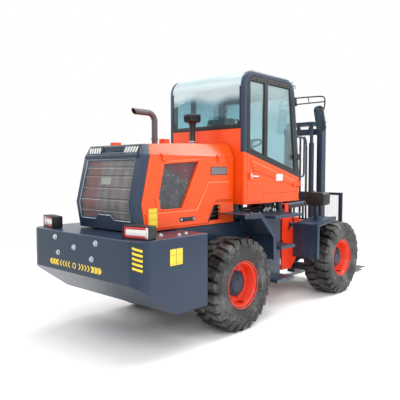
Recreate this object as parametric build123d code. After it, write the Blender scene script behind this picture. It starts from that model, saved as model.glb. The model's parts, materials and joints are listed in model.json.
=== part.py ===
from build123d import *
from math import atan2, degrees, pi, sqrt, tan
import os

os.makedirs("parts", exist_ok=True)

# Rough terrain forklift, articulated frame. Millimetres, +X forwards, +Y left, +Z up, ground at Z = 0.

# Main sizes
WHEELBASE = 2440
REAR_OVERHANG = 1600
FORK_REACH = 1940
HALF_WIDTH = 950
XR = (REAR_OVERHANG - WHEELBASE - FORK_REACH) / 2
XF = XR + WHEELBASE
XP = XR + WHEELBASE / 2
FIT = 0.3
PIN_FIT = 0.3
GLASS = 8

# Wheels: tyre 16/70-20 on a deep dish rim with a planetary hub
TYRE_D = 1075
TYRE_R = TYRE_D / 2
TYRE_HALF = 205
TRACK_HALF = 745
BEAD_R = 255
BEAD_HALF = 165
FLANGE_R = 277
SPINDLE_R = 60
SPINDLE_END = 48
AXLE_Z = TYRE_R
LUGS = 26
LUG_DEPTH = 36
LUG_INNER = (-18, 54)
LUG_OUTER = (-50, 14)
LUG_SPLIT = 10
LUG_EDGE = 170
SHOULDER_R = 440

# Axle pads that the frames stand on
PAD_Z = 660
PAD_IN = 330
PAD_OUT = 430
PAD_HALF = 80

# Counterweight
CW_FRONT = XR - 660
CW_TOP = 1200
CW_LOW = 440
CW_EDGE = 775
CW_TOE = XR - 1133
CW_CORNER = 150
CW_EDGE_R = 10
CW_WALL = 100

# Hood: rear grille profile (x from the rear axle, z), wall and seams
HOOD_HALF = 500
HOOD_LOW = 1215
HOOD_WALL = 25
HOOD_FRONT = 330
HOOD_REAR = [(-1235, HOOD_LOW), (-1285, 1500), (-1165, 2000), (-1120, 2125)]
HOOD_TOP_FRONT = 2195
GRILLE_DEPTH = 108
LID_TOP = 2010
LID_GAP = 5
FACET_IN = 430
FACET_TOP = 2160

# Cab side outline, from the rear axle
CAB_HALF = 650
CAB_REAR = 350
CAB_LOW = 1430
CAB_TOP = 3090
CAB_SHOULDER = (1465, CAB_TOP)
CAB_KNEE = (1640, 1830)
CAB_TOE = 1630
CAB_REAR_R = 200
CAB_FRONT_R = 220
PILLAR = 60
PILLAR_R = 24
FLOOR = 20
ROOF = 40
DOOR_GAP = 5
DOOR_THICK = 42
DOOR_STEP_X = 755
SILL_TOP = 1552
BELT = [(326, 2089), (1600, 1757)]
REAR_GLASS_LOW = CAB_TOP - 718
REAR_GLASS_END = 618
WIND_TOP = CAB_TOP - 238
HINGE_X = XR + 1600
HINGE_Y = CAB_HALF + 18
HINGE_R = 9

# Frames
BEAM_IN = 400
BEAM_OUT = 480
BEAM_LOW = 1000
BEAM_TOP = 1205
SPINE_IN = 190
SPINE_OUT = 225
DECK_Z = 1240
DECK_T = 40
DECK_TURN_R = 570
LUG_UP = (1050, 1110)
LUG_DOWN = (500, 560)
LUG_R = 110
CLEVIS_T = 30
CLEVIS_GAP = 6
PIVOT_R = 45
FRAME_HALF = 500
FRAME_TOP = 1166
FRAME_LOW = 435
BOX_IN = 366
BOX_OUT = 406
SHAFT_Z = 720

# Steering cylinders, pins from the articulation axis
STEER_Z = 800
STEER_BASE = (-560, 330)
STEER_EYE = (320, 380)
STEER_R = 38
STEER_ROD = 22

# Mast
MAST_REAR = XF + 350
MAST_DEPTH = 130
MAST_HALF = 360
MAST_FLANGE = 60
MAST_T = 18
MAST_LOW = 140
OUTER_TOP = 2560
INNER_TOP = 2640
SLIDE = 5
INNER_T = 14
TILT_X = XF + 320
TILT_Z = 480
TILT_R = 35
LIFT_Y = 205
LIFT_X = MAST_REAR - 62
LIFT_R = 42
ROD_R = 28
TILT_BASE = (XF - 660, 1320)
TILT_EYE = (XF + 250, 1350)
TILT_Y = 315
TILT_CYL_R = 42
TILT_ROD_R = 24
CHAIN_Y = 110
CHAIN_HALF = 16
CHAIN_LINKS = 9

# Carriage and forks
BAR_X = XF + 550
BAR_T = 40
BAR_HALF = 520
FORK_Y = 350
FORK_HALF = 75
FORK_T = 50
FORK_LOW = 50
FORK_TOP = 760


def block(x0, x1, y0, y1, z0, z1):
    """Box between two corners."""
    return Pos((x0 + x1) / 2, (y0 + y1) / 2, (z0 + z1) / 2) * Box(x1 - x0, y1 - y0, z1 - z0)


def prism_y(points, y0, y1):
    """Outline given in (x, z), drawn out from y0 to y1."""
    face = make_face(Polyline([(x, y0, z) for x, z in points], close=True))
    return extrude(face, amount=y1 - y0, dir=(0, 1, 0))


def prism_x(points, x0, x1):
    """Outline given in (y, z), drawn out from x0 to x1."""
    face = make_face(Polyline([(x0, y, z) for y, z in points], close=True))
    return extrude(face, amount=x1 - x0, dir=(1, 0, 0))


def turned(points):
    """Profile given in (y, radius), turned about the Y axis."""
    return revolve(make_face(Polyline([(0, y, r) for y, r in points], close=True)), Axis.Y)


def rod(p, q, r):
    """Round bar from p to q."""
    start = Vector(*p)
    way = Vector(*q) - start
    from_end = (Align.CENTER, Align.CENTER, Align.MIN)
    return Plane(origin=start, z_dir=way) * Cylinder(r, way.length, align=from_end)


def upright(x, y, z0, z1, r):
    return rod((x, y, z0), (x, y, z1), r)


def across(x, z, y0, y1, r):
    return rod((x, y0, z), (x, y1, z), r)


def other_side(shape):
    return mirror(shape, about=Plane.XZ)


def pair(shape):
    """The right-hand piece and its mirror image, two solids of one node."""
    return Compound(list(shape.solids()) + list(other_side(shape).solids()))


def both(shape):
    """The right-hand piece joined with its mirror image."""
    return shape + other_side(shape)


def rear(points):
    """Points given from the rear axle."""
    return [(XR + x, z) for x, z in points]


def save(name, shape):
    export_step(shape, f"parts/{name}.step")


# Wheels: a carcass of flat facets with one slanted lug on each, the two sides half a pitch apart
def half_facet():
    """One facet of the right-hand half of the carcass, with its lug."""
    half = pi / LUGS
    section = [
        (0, BEAD_R - 50), (0, TYRE_R - LUG_DEPTH), (TYRE_HALF, SHOULDER_R),
        (BEAD_HALF, FLANGE_R + 6), (BEAD_HALF, BEAD_R - 50),
    ]
    ends = []
    for turn in (-half, half):
        ends.append(make_face(Polyline([(r * tan(turn), y, r) for y, r in section], close=True)))
    top = sqrt(TYRE_R ** 2 - LUG_INNER[1] ** 2)
    low = SHOULDER_R - 40
    profile = [
        (LUG_SPLIT, low), (LUG_SPLIT, top), (LUG_EDGE, top),
        (TYRE_HALF, SHOULDER_R), (TYRE_HALF - 10, low),
    ]
    sides = []
    for inner, outer in zip(LUG_INNER, LUG_OUTER):
        lean = (outer - inner) / (TYRE_HALF - LUG_SPLIT)
        line = [(inner + lean * (y - LUG_SPLIT), y, r) for y, r in profile]
        sides.append(make_face(Polyline(line, close=True)))
    return loft(ends, ruled=True) + loft(sides, ruled=True)


def tyre():
    facet = half_facet()
    first = degrees(atan2(LUG_INNER[1], sqrt(TYRE_R ** 2 - LUG_INNER[1] ** 2)))
    pieces = []
    for i in range(LUGS):
        turn = 360 * i / LUGS + 180 - first
        pieces.append(Rot(0, turn, 0) * facet)
        pieces.append(Rot(0, turn + 180 / LUGS, 0) * other_side(facet))
    return pieces[0].fuse(*pieces[1:]) - across(0, 0, -TYRE_HALF, TYRE_HALF, BEAD_R)


def rim():
    seat = BEAD_R - FIT
    edge = BEAD_HALF + 1
    bore = SPINDLE_R + PIN_FIT
    return turned([
        (95, 0), (95, 105), (70, 150), (28, 150), (28, 215), (60, 232), (150, 240), (158, 262),
        (172, 262), (172, FLANGE_R), (edge, FLANGE_R), (edge, seat), (-edge, seat), (-edge, FLANGE_R),
        (-172, FLANGE_R), (-172, 240), (-150, 236), (-20, 228), (8, 215), (8, 150), (-70, 150),
        (-70, bore), (SPINDLE_END + 2, bore), (SPINDLE_END + 2, 0),
    ])


tyre_left = tyre()
rim_left = rim()
WHEELS = [("rear_right", XR, -1), ("rear_left", XR, 1), ("front_right", XF, -1), ("front_left", XF, 1)]
for name, x, side in WHEELS:
    at = Pos(x, side * TRACK_HALF, AXLE_Z)
    save(f"tyre_{name}", at * (tyre_left if side > 0 else other_side(tyre_left)))
    save(f"rim_{name}", at * (rim_left if side > 0 else other_side(rim_left)))


# Axles: differential bowl, trumpets, brake flanges and spindles
def axle(x, nose):
    half = turned([
        (0, 0), (0, 190), (110, 178), (200, 108), (470, 92), (490, 140), (560, 140), (575, 92),
        (660, 88), (660, SPINDLE_R), (TRACK_HALF + SPINDLE_END, SPINDLE_R), (TRACK_HALF + SPINDLE_END, 0),
    ])
    pads = block(-PAD_HALF, PAD_HALF, PAD_IN, PAD_OUT, 0, PAD_Z - AXLE_Z)
    return Pos(x, 0, AXLE_Z) * (both(half + pads) + nose)


REAR_NOSE_Z = 20
REAR_NOSE_END = 330
rear_nose = rod((150, 0, 0), (210, 0, 0), 95)
rear_nose = rear_nose + rod((200, 0, REAR_NOSE_Z), (REAR_NOSE_END, 0, REAR_NOSE_Z), 36)
rear_axle = axle(XR, rear_nose)
save("rear_axle", rear_axle)
front_nose = rod((-150, 0, 0), (-210, 0, 0), 95)
front_nose = front_nose + rod((-200, 0, 10), (XP + 95 - XF, 0, SHAFT_Z - AXLE_Z), 38)
front_axle = axle(XF, front_nose)
save("front_axle", front_axle)

# Counterweight: slanted underside, rounded rear corners
counterweight = prism_y([
    (XR - REAR_OVERHANG, CW_TOP), (XR - REAR_OVERHANG, CW_EDGE), (CW_TOE, CW_LOW),
    (CW_FRONT, CW_LOW), (CW_FRONT, CW_TOP),
], -HALF_WIDTH, HALF_WIDTH)
rear_edges = counterweight.edges().filter_by(Axis.Z).group_by(Axis.X)[0]
counterweight = fillet(rear_edges, CW_CORNER)
top_edges = counterweight.faces().sort_by(Axis.Z)[-1].edges().sort_by(Axis.X)[:-1]
counterweight = fillet(top_edges, CW_EDGE_R)
CW_BACK = XR - REAR_OVERHANG + 2 * CW_WALL
pocket = [
    (CW_FRONT, CW_LOW + CW_WALL), (CW_TOE + 60, CW_LOW + CW_WALL), (CW_BACK, CW_EDGE),
    (CW_BACK, CW_TOP - CW_WALL), (CW_FRONT, CW_TOP - CW_WALL),
]
counterweight = counterweight - prism_y(pocket, CW_WALL - HALF_WIDTH, HALF_WIDTH - CW_WALL)
save("counterweight", counterweight)
tail_lamp = block(XR - 1455, XR - 1370, -915, -600, CW_TOP, CW_TOP + 132)
save("tail_lamps", pair(tail_lamp))

# Hood shell: cross section and side profile, hollow, then cut at its seams
section = [
    (-HOOD_HALF, HOOD_LOW), (-HOOD_HALF, LID_TOP + LID_GAP), (-FACET_IN, FACET_TOP), (-330, HOOD_TOP_FRONT),
    (330, HOOD_TOP_FRONT), (FACET_IN, FACET_TOP), (HOOD_HALF, LID_TOP + LID_GAP), (HOOD_HALF, HOOD_LOW),
]
inside = [
    (HOOD_WALL - HOOD_HALF, HOOD_LOW - 1), (HOOD_WALL - HOOD_HALF, LID_TOP),
    (HOOD_WALL - FACET_IN, FACET_TOP - 20), (-320, HOOD_TOP_FRONT - HOOD_WALL),
    (320, HOOD_TOP_FRONT - HOOD_WALL), (FACET_IN - HOOD_WALL, FACET_TOP - 20),
    (HOOD_HALF - HOOD_WALL, LID_TOP), (HOOD_HALF - HOOD_WALL, HOOD_LOW - 1),
]
profile = rear(HOOD_REAR + [(HOOD_FRONT, HOOD_TOP_FRONT), (HOOD_FRONT, HOOD_LOW)])
hollow = rear([(x + HOOD_WALL, z) for x, z in HOOD_REAR[:3]] + [
    (HOOD_REAR[3][0] + 10, HOOD_REAR[3][1] - HOOD_WALL), (HOOD_FRONT + 1, HOOD_TOP_FRONT - HOOD_WALL),
    (HOOD_FRONT + 1, HOOD_LOW - 1), (HOOD_REAR[0][0] + HOOD_WALL, HOOD_LOW - 1),
])
shell = prism_x(section, XR - 1300, XR + HOOD_FRONT) & prism_y(profile, -HOOD_HALF, HOOD_HALF)
shell = shell - (prism_x(inside, XR - 1299, XR + HOOD_FRONT + 1) & prism_y(hollow, -HOOD_HALF, HOOD_HALF))


def rear_part(depth):
    """Everything behind the seam that runs parallel to the rear face."""
    seam = [(x + depth, z) for x, z in HOOD_REAR]
    seam[0] = (seam[0][0], HOOD_LOW - 5)
    seam[3] = (seam[3][0] + 30, HOOD_TOP_FRONT + 50)
    zone = rear(seam + [(-1400, HOOD_TOP_FRONT + 50), (-1400, HOOD_LOW - 5)])
    return prism_y(zone, -HOOD_HALF - 5, HOOD_HALF + 5)


GRILLE_HALF = 415
GRILLE_LOW = 1340
GRILLE_TOP = 1955
NOTCH = [(155, GRILLE_LOW), (105, GRILLE_LOW + 50)]
LAMP_Y = (195, 425)
LAMP_Z = (2045, 2104)
grille_shell = shell & rear_part(GRILLE_DEPTH)
mouth_line = [
    (GRILLE_HALF, GRILLE_LOW), (GRILLE_HALF - 15, GRILLE_TOP), (15 - GRILLE_HALF, GRILLE_TOP),
    (-GRILLE_HALF, GRILLE_LOW), (-NOTCH[0][0], NOTCH[0][1]), (-NOTCH[1][0], NOTCH[1][1]),
    NOTCH[1], NOTCH[0],
]
grille_shell = grille_shell - prism_x(mouth_line, XR - 1300, XR - 1100)
brow = rear([(-1155, 1975), (-1195, 1988), (-1195, 2018), (-1145, 2040)])
grille_shell = grille_shell + (prism_y(brow, -450, 450) - prism_y(hollow, -HOOD_HALF, HOOD_HALF))
grille_shell = grille_shell - block(XR - 1200, XR - 1128, -180, 180, LAMP_Z[0] + 4, LAMP_Z[1] - 4)
lamp_hole = block(XR - 1200, XR - 1050, -LAMP_Y[1], -LAMP_Y[0], LAMP_Z[0], LAMP_Z[1])
grille_shell = grille_shell - both(lamp_hole)
save("grille_shell", grille_shell)
work_lamp = block(XR - 1165, XR - 1095, FIT - LAMP_Y[1], -LAMP_Y[0] - FIT, LAMP_Z[0], LAMP_Z[1] - FIT)
save("rear_work_lamps", pair(work_lamp))

SCREEN_T = 8
screen = rear([(x + HOOD_WALL, z) for x, z in HOOD_REAR[:3]] + [
    (x + HOOD_WALL + SCREEN_T, z) for x, z in reversed(HOOD_REAR[:3])])
grille_screen = prism_y(screen, -440, 440) & block(XR - 1300, XR - 1000, -440, 440, GRILLE_LOW - 40, 1990)
BAR_LEVELS = [(-1255, 1430), (-1258, 1550), (-1232, 1670), (-1202, 1795), (-1177, 1890)]
for x, z in BAR_LEVELS:
    bar = rod((XR + x + HOOD_WALL - 8, 20 - GRILLE_HALF, z), (XR + x + HOOD_WALL - 8, GRILLE_HALF - 20, z), 7)
    grille_screen = grille_screen + bar
save("grille_screen", grille_screen)

# Side lids of the hood, hinged along their top edge, with a mesh window
lid_line = [(-1060, LID_TOP), (190, LID_TOP), (285, 1545), (285, 1480), (-15, 1480), (-156, HOOD_LOW - 5),
            (-1400, HOOD_LOW - 5), (-1400, LID_TOP)]
lid_zone = prism_y(rear(lid_line), -HOOD_HALF - 5, HOOD_WALL - HOOD_HALF)
LID_PIN_Y = -HOOD_HALF - 13
LID_PIN_Z = LID_TOP + LID_GAP / 2
LID_PIN_R = 6
KNUCKLE_R = 12
LID_HINGES = [XR - 850, XR + 60]


def lid_pin(x):
    """Hinge pin of a lid between two ears on the hood's edge."""
    pin = rod((x - 50, LID_PIN_Y, LID_PIN_Z), (x + 50, LID_PIN_Y, LID_PIN_Z), LID_PIN_R)
    ear = [
        (LID_PIN_Y - 8, LID_PIN_Z - 8), (LID_PIN_Y + 8, LID_PIN_Z - 8), (-HOOD_HALF + 2, LID_TOP + LID_GAP),
        (12 - HOOD_HALF, LID_TOP + 30), (LID_PIN_Y - 8, LID_PIN_Z + 8),
    ]
    return pin + prism_x(ear, x - 50, x - 40) + prism_x(ear, x + 40, x + 50)


def lid_knuckle(x):
    """Hinge eye of a lid round its pin, on a strap."""
    eye = rod((x - 38, LID_PIN_Y, LID_PIN_Z), (x + 38, LID_PIN_Y, LID_PIN_Z), KNUCKLE_R)
    strap = block(x - 38, x + 38, LID_PIN_Y - 6, -HOOD_HALF, LID_TOP - 60, LID_PIN_Z - 6)
    bore = rod((x - 50, LID_PIN_Y, LID_PIN_Z), (x + 50, LID_PIN_Y, LID_PIN_Z), LID_PIN_R + PIN_FIT)
    return eye + strap - bore


WINDOW = [(-853, LID_TOP - 90), (-312, LID_TOP - 55), (-590, 1432), (-907, 1436), (-942, 1561)]
lid = (shell & lid_zone) - rear_part(GRILLE_DEPTH + LID_GAP)
lid = lid - prism_y(rear(WINDOW), -HOOD_HALF - 5, HOOD_WALL - HOOD_HALF + 5)
for x in LID_HINGES:
    lid = lid + lid_knuckle(x)
FIELD = [
    (-1110, 1230), (-1128, 1405), (-345, 1405), (-143, 1718), (240, 1718), (272, 1555), (272, 1492),
    (-8, 1492), (-148, 1230),
]
FRAME_LINE = [(-885, LID_TOP - 62), (-262, LID_TOP - 24), (-570, 1407), (-930, 1411), (-972, 1565)]


def raised(points, height):
    """Field standing proud of the lid's outer face, with sloping edges."""
    flat = Plane.XZ.offset(HOOD_HALF) * make_face(Polyline(rear(points), close=True))
    return extrude(flat, amount=height, taper=40)


lid = lid + raised(FIELD, 12)
lid = lid + (raised(FRAME_LINE, 9) - prism_y(rear(WINDOW), -HOOD_HALF - 20, -HOOD_HALF))
save("hood_lid_right", lid)
save("hood_lid_left", other_side(lid))
MESH_RIM = [(-875, LID_TOP - 70), (-275, LID_TOP - 30), (-575, 1412), (-922, 1416), (-962, 1565)]
lid_mesh = prism_y(rear(MESH_RIM), HOOD_WALL - HOOD_HALF, HOOD_WALL - HOOD_HALF + 6)
save("lid_mesh_right", lid_mesh)
save("lid_mesh_left", other_side(lid_mesh))

EXHAUST = (XR - 640, -120)
EXHAUST_R = 34
CLEANER = (XR + 113, 0)
CLEANER_R = 38
CLEANER_CAP_R = 110
keep_out = [(-1400, LID_TOP + LID_GAP), (190 + LID_GAP, LID_TOP + LID_GAP), (285 + LID_GAP, 1545),
            (285 + LID_GAP, 1480 - LID_GAP), (-15 + LID_GAP, 1480 - LID_GAP), (LID_GAP - 156, HOOD_LOW - 5),
            (-1400, HOOD_LOW - 5)]
cover = shell - rear_part(GRILLE_DEPTH + FIT) - prism_y(rear(keep_out), -HOOD_HALF - 5, HOOD_HALF + 5)
vent = prism_y(rear([(-40, 1441), (71, 1440), (71, 1262), (-146, 1262)]), -HOOD_HALF - 5, HOOD_HALF + 5)
cover = cover - vent
cover = cover - upright(*EXHAUST, 2000, 2300, EXHAUST_R + FIT)
cover = cover - upright(*CLEANER, 2000, 2300, CLEANER_R + FIT)
for x in LID_HINGES:
    cover = cover + both(lid_pin(x))
for x, y, top in [(-945, 200, 2168), (-515, -150, 2214)]:
    cover = cover + block(XR + x - 48, XR + x + 48, y - 40, y + 40, 2120, top)
save("hood_cover", cover)

# Engine, radiator, exhaust and intake
ENGINE_TOP = 1750
engine = block(XR - 560, XR + 160, -260, 260, BEAM_LOW, ENGINE_TOP)
engine = engine + block(XR + 150, XR + 620, -180, 180, BEAM_LOW - 50, 1150)
engine = engine + block(XR + REAR_NOSE_END, XR + 620, -175, 175, 515, 1000)
engine = engine + rod((XR + 620, 0, SHAFT_Z), (XP - 75, 0, SHAFT_Z), 38)
engine = engine + Pos(XP, 0, SHAFT_Z) * Sphere(52) + rod((XP - 80, 0, SHAFT_Z), (XP, 0, SHAFT_Z), 24)
save("engine", engine)
save("radiator", block(XR - 1110, XR - 1000, -420, 420, CW_TOP, 2000))
BEND = 95
PIPE_TOP = 2500
foot_at = (EXHAUST[0], EXHAUST[1], ENGINE_TOP)
TAIL = 330
MITRE = 50
bend_at = (EXHAUST[0], EXHAUST[1], PIPE_TOP)
mouth = EXHAUST[0] - TAIL
pipe_line = FilletPolyline(foot_at, bend_at, (mouth, EXHAUST[1], PIPE_TOP), radius=BEND)
exhaust = sweep(Plane(origin=foot_at, z_dir=(0, 0, 1)) * Circle(EXHAUST_R), path=pipe_line)
exhaust = exhaust - rod((mouth - 1, EXHAUST[1], PIPE_TOP), (mouth + 150, EXHAUST[1], PIPE_TOP), EXHAUST_R - 4)
mitre = [
    (mouth - 5, PIPE_TOP + 40), (mouth, PIPE_TOP + 40),
    (mouth + MITRE, PIPE_TOP - 40), (mouth - 5, PIPE_TOP - 40),
]
exhaust = exhaust - prism_y(mitre, EXHAUST[1] - 40, EXHAUST[1] + 40)
save("exhaust_pipe", exhaust)
cleaner = upright(*CLEANER, ENGINE_TOP, 2470, CLEANER_R) + upright(*CLEANER, 2460, 2572, CLEANER_CAP_R)
save("air_precleaner", cleaner)

# Cab: two hoops, tub, roof and glass
outline = make_face(FilletPolyline(
    (XR + CAB_REAR, CAB_LOW), (XR + CAB_REAR, CAB_TOP), (XR + CAB_SHOULDER[0], CAB_TOP),
    (XR + CAB_KNEE[0], CAB_KNEE[1]), (XR + CAB_TOE, CAB_LOW),
    radius=[0, CAB_REAR_R, CAB_FRONT_R, 0, 0], close=True))


def cab_slab(inset, y0, y1):
    """The cab's side outline, drawn in by inset, from y0 to y1."""
    face = offset(outline, -inset, kind=Kind.INTERSECTION) if inset else outline
    flat = Plane.XZ.offset(-y0) * face
    return extrude(flat, amount=y1 - y0, dir=(0, 1, 0))


def front_x(z):
    """X of the cab's front line at a height."""
    if z > CAB_KNEE[1]:
        run = (CAB_SHOULDER[0] - CAB_KNEE[0]) / (CAB_SHOULDER[1] - CAB_KNEE[1])
        return XR + CAB_KNEE[0] + run * (z - CAB_KNEE[1])
    return XR + CAB_TOE + (CAB_KNEE[0] - CAB_TOE) * (z - CAB_LOW) / (CAB_KNEE[1] - CAB_LOW)


def belt_z(x):
    """Height of the slanted line under the side windows."""
    (xa, za), (xb, zb) = BELT
    return za + (zb - za) * (x - xa) / (xb - xa)


PILLAR_IN = CAB_HALF - PILLAR
slab = cab_slab(0, -CAB_HALF, -PILLAR_IN)
rim_edges = slab.faces().sort_by(Axis.Y)[0].edges().sort_by(Axis.Z)[1:]
hoop = fillet(rim_edges, PILLAR_R) - cab_slab(PILLAR, -CAB_HALF, -PILLAR_IN)
threshold = (-CAB_HALF, -PILLAR_IN, CAB_LOW, CAB_LOW + 2 * PILLAR)
hoop = hoop - block(XR + CAB_REAR + PILLAR, XR + CAB_TOE - PILLAR, *threshold)
under_belt = rear([(300, belt_z(300)), (1700, belt_z(1700)), (1700, CAB_LOW - 5), (300, CAB_LOW - 5)])
below = prism_y(under_belt, -CAB_HALF - 5, CAB_HALF + 5)
HINGES = [(1620, 1700), (2000, 2080)]
cab_frame = both(hoop) - below
tub = both(hoop & below)
tub = tub + block(XR + CAB_REAR, XR + CAB_TOE, -CAB_HALF, CAB_HALF, CAB_LOW, CAB_LOW + FLOOR)
tub = tub + block(XR + CAB_REAR, XR + CAB_REAR + 36, -PILLAR_IN, PILLAR_IN, CAB_LOW, REAR_GLASS_LOW)
tub = tub + block(XR + CAB_TOE - 36, XR + CAB_TOE, -PILLAR_IN, PILLAR_IN, CAB_LOW, CAB_KNEE[1])
sill = block(XR + DOOR_STEP_X + DOOR_GAP, XR + CAB_TOE - 36, -CAB_HALF, -PILLAR_IN, CAB_LOW, SILL_TOP)
tub = tub + both(sill)
SEAT_BASE_TOP = 1850
tub = tub + block(XR + 740, XR + 1110, -210, 210, CAB_LOW, SEAT_BASE_TOP)


def hinge_lugs(z0, z1):
    """Two plates that carry one hinge pin on the pillar's outer face."""
    lugs = upright(HINGE_X, -HINGE_Y, z0, z1, HINGE_R)
    root = min(HINGE_X - 14, front_x(z1) - 11)
    for za in (z0, z1 - 12):
        lugs = lugs + block(root, HINGE_X + 14, -HINGE_Y - 14, PILLAR_R - CAB_HALF, za, za + 12)
    return lugs


tub = tub + both(hinge_lugs(*HINGES[0]))
save("cab_tub", tub)
cab_frame = cab_frame + both(hinge_lugs(*HINGES[1]))
save("cab_frame", cab_frame)

roof = cab_slab(0, -PILLAR_IN, PILLAR_IN) - cab_slab(ROOF, -PILLAR_IN, PILLAR_IN)
roof = roof & block(XR + REAR_GLASS_END, XR + 1700, -PILLAR_IN, PILLAR_IN, WIND_TOP, CAB_TOP + 5)
save("cab_roof", roof)
rear_glass = cab_slab(0, -PILLAR_IN, PILLAR_IN) - cab_slab(GLASS, -PILLAR_IN, PILLAR_IN)
rear_glass = rear_glass & block(XR, XR + REAR_GLASS_END, -PILLAR_IN, PILLAR_IN, REAR_GLASS_LOW, CAB_TOP + 5)
save("rear_window", rear_glass)
wind_low = CAB_KNEE[1]
windscreen = prism_y([
    (front_x(wind_low + 1) - 20, wind_low), (front_x(WIND_TOP) - 20, WIND_TOP),
    (front_x(WIND_TOP) - 20 - GLASS, WIND_TOP), (front_x(wind_low + 1) - 20 - GLASS, wind_low),
], -PILLAR_IN, PILLAR_IN)
save("windscreen", windscreen)

# Doors: stepped lower edge, two window openings with a post between
DOOR_Y = (-CAB_HALF, DOOR_THICK - CAB_HALF)
door = cab_slab(PILLAR + DOOR_GAP, *DOOR_Y)
foot = block(XR + CAB_REAR + PILLAR + DOOR_GAP, XR + DOOR_STEP_X, *DOOR_Y, CAB_LOW + FLOOR + DOOR_GAP, 1600)
door = (door - block(XR + DOOR_STEP_X, XR + 1700, *DOOR_Y, CAB_LOW, SILL_TOP + DOOR_GAP)
        - block(XR, XR + DOOR_STEP_X, *DOOR_Y, CAB_LOW, 1550)) + foot
RAIL = 65
WINDOW_TOP = CAB_TOP - PILLAR - DOOR_GAP - RAIL
front_rail = PILLAR + DOOR_GAP + RAIL


def door_window(x0, x1, slack, to_front):
    """Window outline over the belt, cut short by slack all round."""
    z_low = 70 + slack
    if to_front:
        right = [(front_x(WINDOW_TOP - slack) - XR - front_rail - slack, WINDOW_TOP - slack),
                 (CAB_KNEE[0] - front_rail - slack, belt_z(x1) + z_low)]
    else:
        right = [(x1 - slack, WINDOW_TOP - slack), (x1 - slack, belt_z(x1) + z_low)]
    return rear([(x0 + slack, WINDOW_TOP - slack)] + right + [(x0 + slack, belt_z(x0) + z_low)])


WINDOWS = [(470, 768, False), (842, 1510, True)]
GLASS_Y = (-CAB_HALF + 14, -CAB_HALF + 14 + GLASS)
panes = []
for x0, x1, to_front in WINDOWS:
    door = door - prism_y(door_window(x0, x1, 0, to_front), -CAB_HALF - 5, DOOR_THICK - CAB_HALF + 5)
    panes.append(prism_y(door_window(x0, x1, FIT, to_front), *GLASS_Y))
for z0, z1 in HINGES:
    knuckle = upright(HINGE_X, -HINGE_Y, z0 + 14, z1 - 14, 17)
    strap = block(HINGE_X - 110, HINGE_X, -HINGE_Y - 4, -HINGE_Y + 6, z0 + 14, z1 - 14)
    foot_plate = block(HINGE_X - 150, HINGE_X - 110, -HINGE_Y - 4, -CAB_HALF, z0 + 14, z1 - 14)
    door = door + ((knuckle + strap + foot_plate) - upright(HINGE_X, -HINGE_Y, z0, z1, HINGE_R + PIN_FIT))
handle = block(XR + 440, XR + 500, -CAB_HALF - 22, -CAB_HALF, 1740, 1820)
door = door + handle
save("door_right", door)
save("door_left", other_side(door))
panes = Compound([s for p in panes for s in p.solids()])
save("door_glass_right", panes)
save("door_glass_left", other_side(panes))

# Seat, steering column and roof lamps
seat = block(XR + 700, XR + 1180, -245, 245, SEAT_BASE_TOP, SEAT_BASE_TOP + 120)
seat = seat + block(XR + 620, XR + 760, -235, 235, SEAT_BASE_TOP + 40, 2560)
save("seat", seat)
column = block(XR + 1400, XR + 1560, -140, 140, CAB_LOW + FLOOR, 2050)
hub = Vector(XR + 1310, 0, 2230)
column = column + rod((XR + 1470, 0, 2000), (hub.X, hub.Y, hub.Z), 30)
wheel_plane = Plane(origin=hub, z_dir=(-100, 0, 230))
column = column + wheel_plane * Torus(185, 15) + wheel_plane * Box(360, 40, 16)
column = column + wheel_plane * Cylinder(48, 30)
save("steering_column", column)
roof_lamp = block(XR + 1420, XR + 1560, 40 - CAB_HALF, 160 - CAB_HALF, CAB_TOP - 105, CAB_TOP - 5)
roof_lamp = roof_lamp - cab_slab(-FIT, -PILLAR_IN - 50, PILLAR_IN)
save("roof_lamps", pair(roof_lamp.solids().sort_by(SortBy.VOLUME)[-1]))


# Mirrors and grab bars, each on blocks that sit flat on the front pillar
def pillar_block(z0, z1, y0, y1, out):
    (xa, xb) = (front_x(z0), front_x(z1))
    return prism_y([(xa, z0), (xb, z1), (xb + out, z1), (xa + out, z0)], y0, y1)


MIRROR_X = XR + 1650
MIRROR_Y = -CAB_HALF - 295
POST_Y = 25 - CAB_HALF
MIRROR_TOP = CAB_TOP - 350
MIRROR_LOW = MIRROR_TOP - 345
mirror_head = block(MIRROR_X, MIRROR_X + 45, MIRROR_Y - 85, MIRROR_Y + 95, MIRROR_LOW, MIRROR_TOP)
mirror_head = fillet(mirror_head.edges().filter_by(Axis.X), 60)
mirror_head = fillet(mirror_head.faces().sort_by(Axis.X)[0].edges(), 18)
arm = pillar_block(MIRROR_TOP - 90, MIRROR_TOP + 20, POST_Y - 20, POST_Y + 20, 40)
for rise, end in [(0, 110), (-70, 90)]:
    root = (front_x(MIRROR_TOP + rise) + 22, POST_Y, MIRROR_TOP + rise)
    arm = arm + rod(root, (MIRROR_X + 40, MIRROR_Y, MIRROR_TOP + end), 11)
arm = arm + rod((MIRROR_X + 40, MIRROR_Y, MIRROR_TOP + 122), (MIRROR_X + 40, MIRROR_Y, MIRROR_LOW + 85), 11)
save("mirrors", pair(mirror_head + arm))
GRAB_X = XR + 1790
grab = pillar_block(2300, 2350, POST_Y - 20, POST_Y + 20, 30)
grab = grab + pillar_block(1750, 1800, POST_Y - 20, POST_Y + 20, 30)
grab = grab + rod((front_x(2325) + 15, POST_Y, 2325), (GRAB_X, POST_Y, 2325), 15)
grab = grab + rod((front_x(1775) + 15, POST_Y, 1775), (GRAB_X, POST_Y, 1775), 15)
grab = grab + rod((GRAB_X, POST_Y, 1760), (GRAB_X, POST_Y, 2340), 15)
save("grab_bars", pair(grab))

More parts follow.
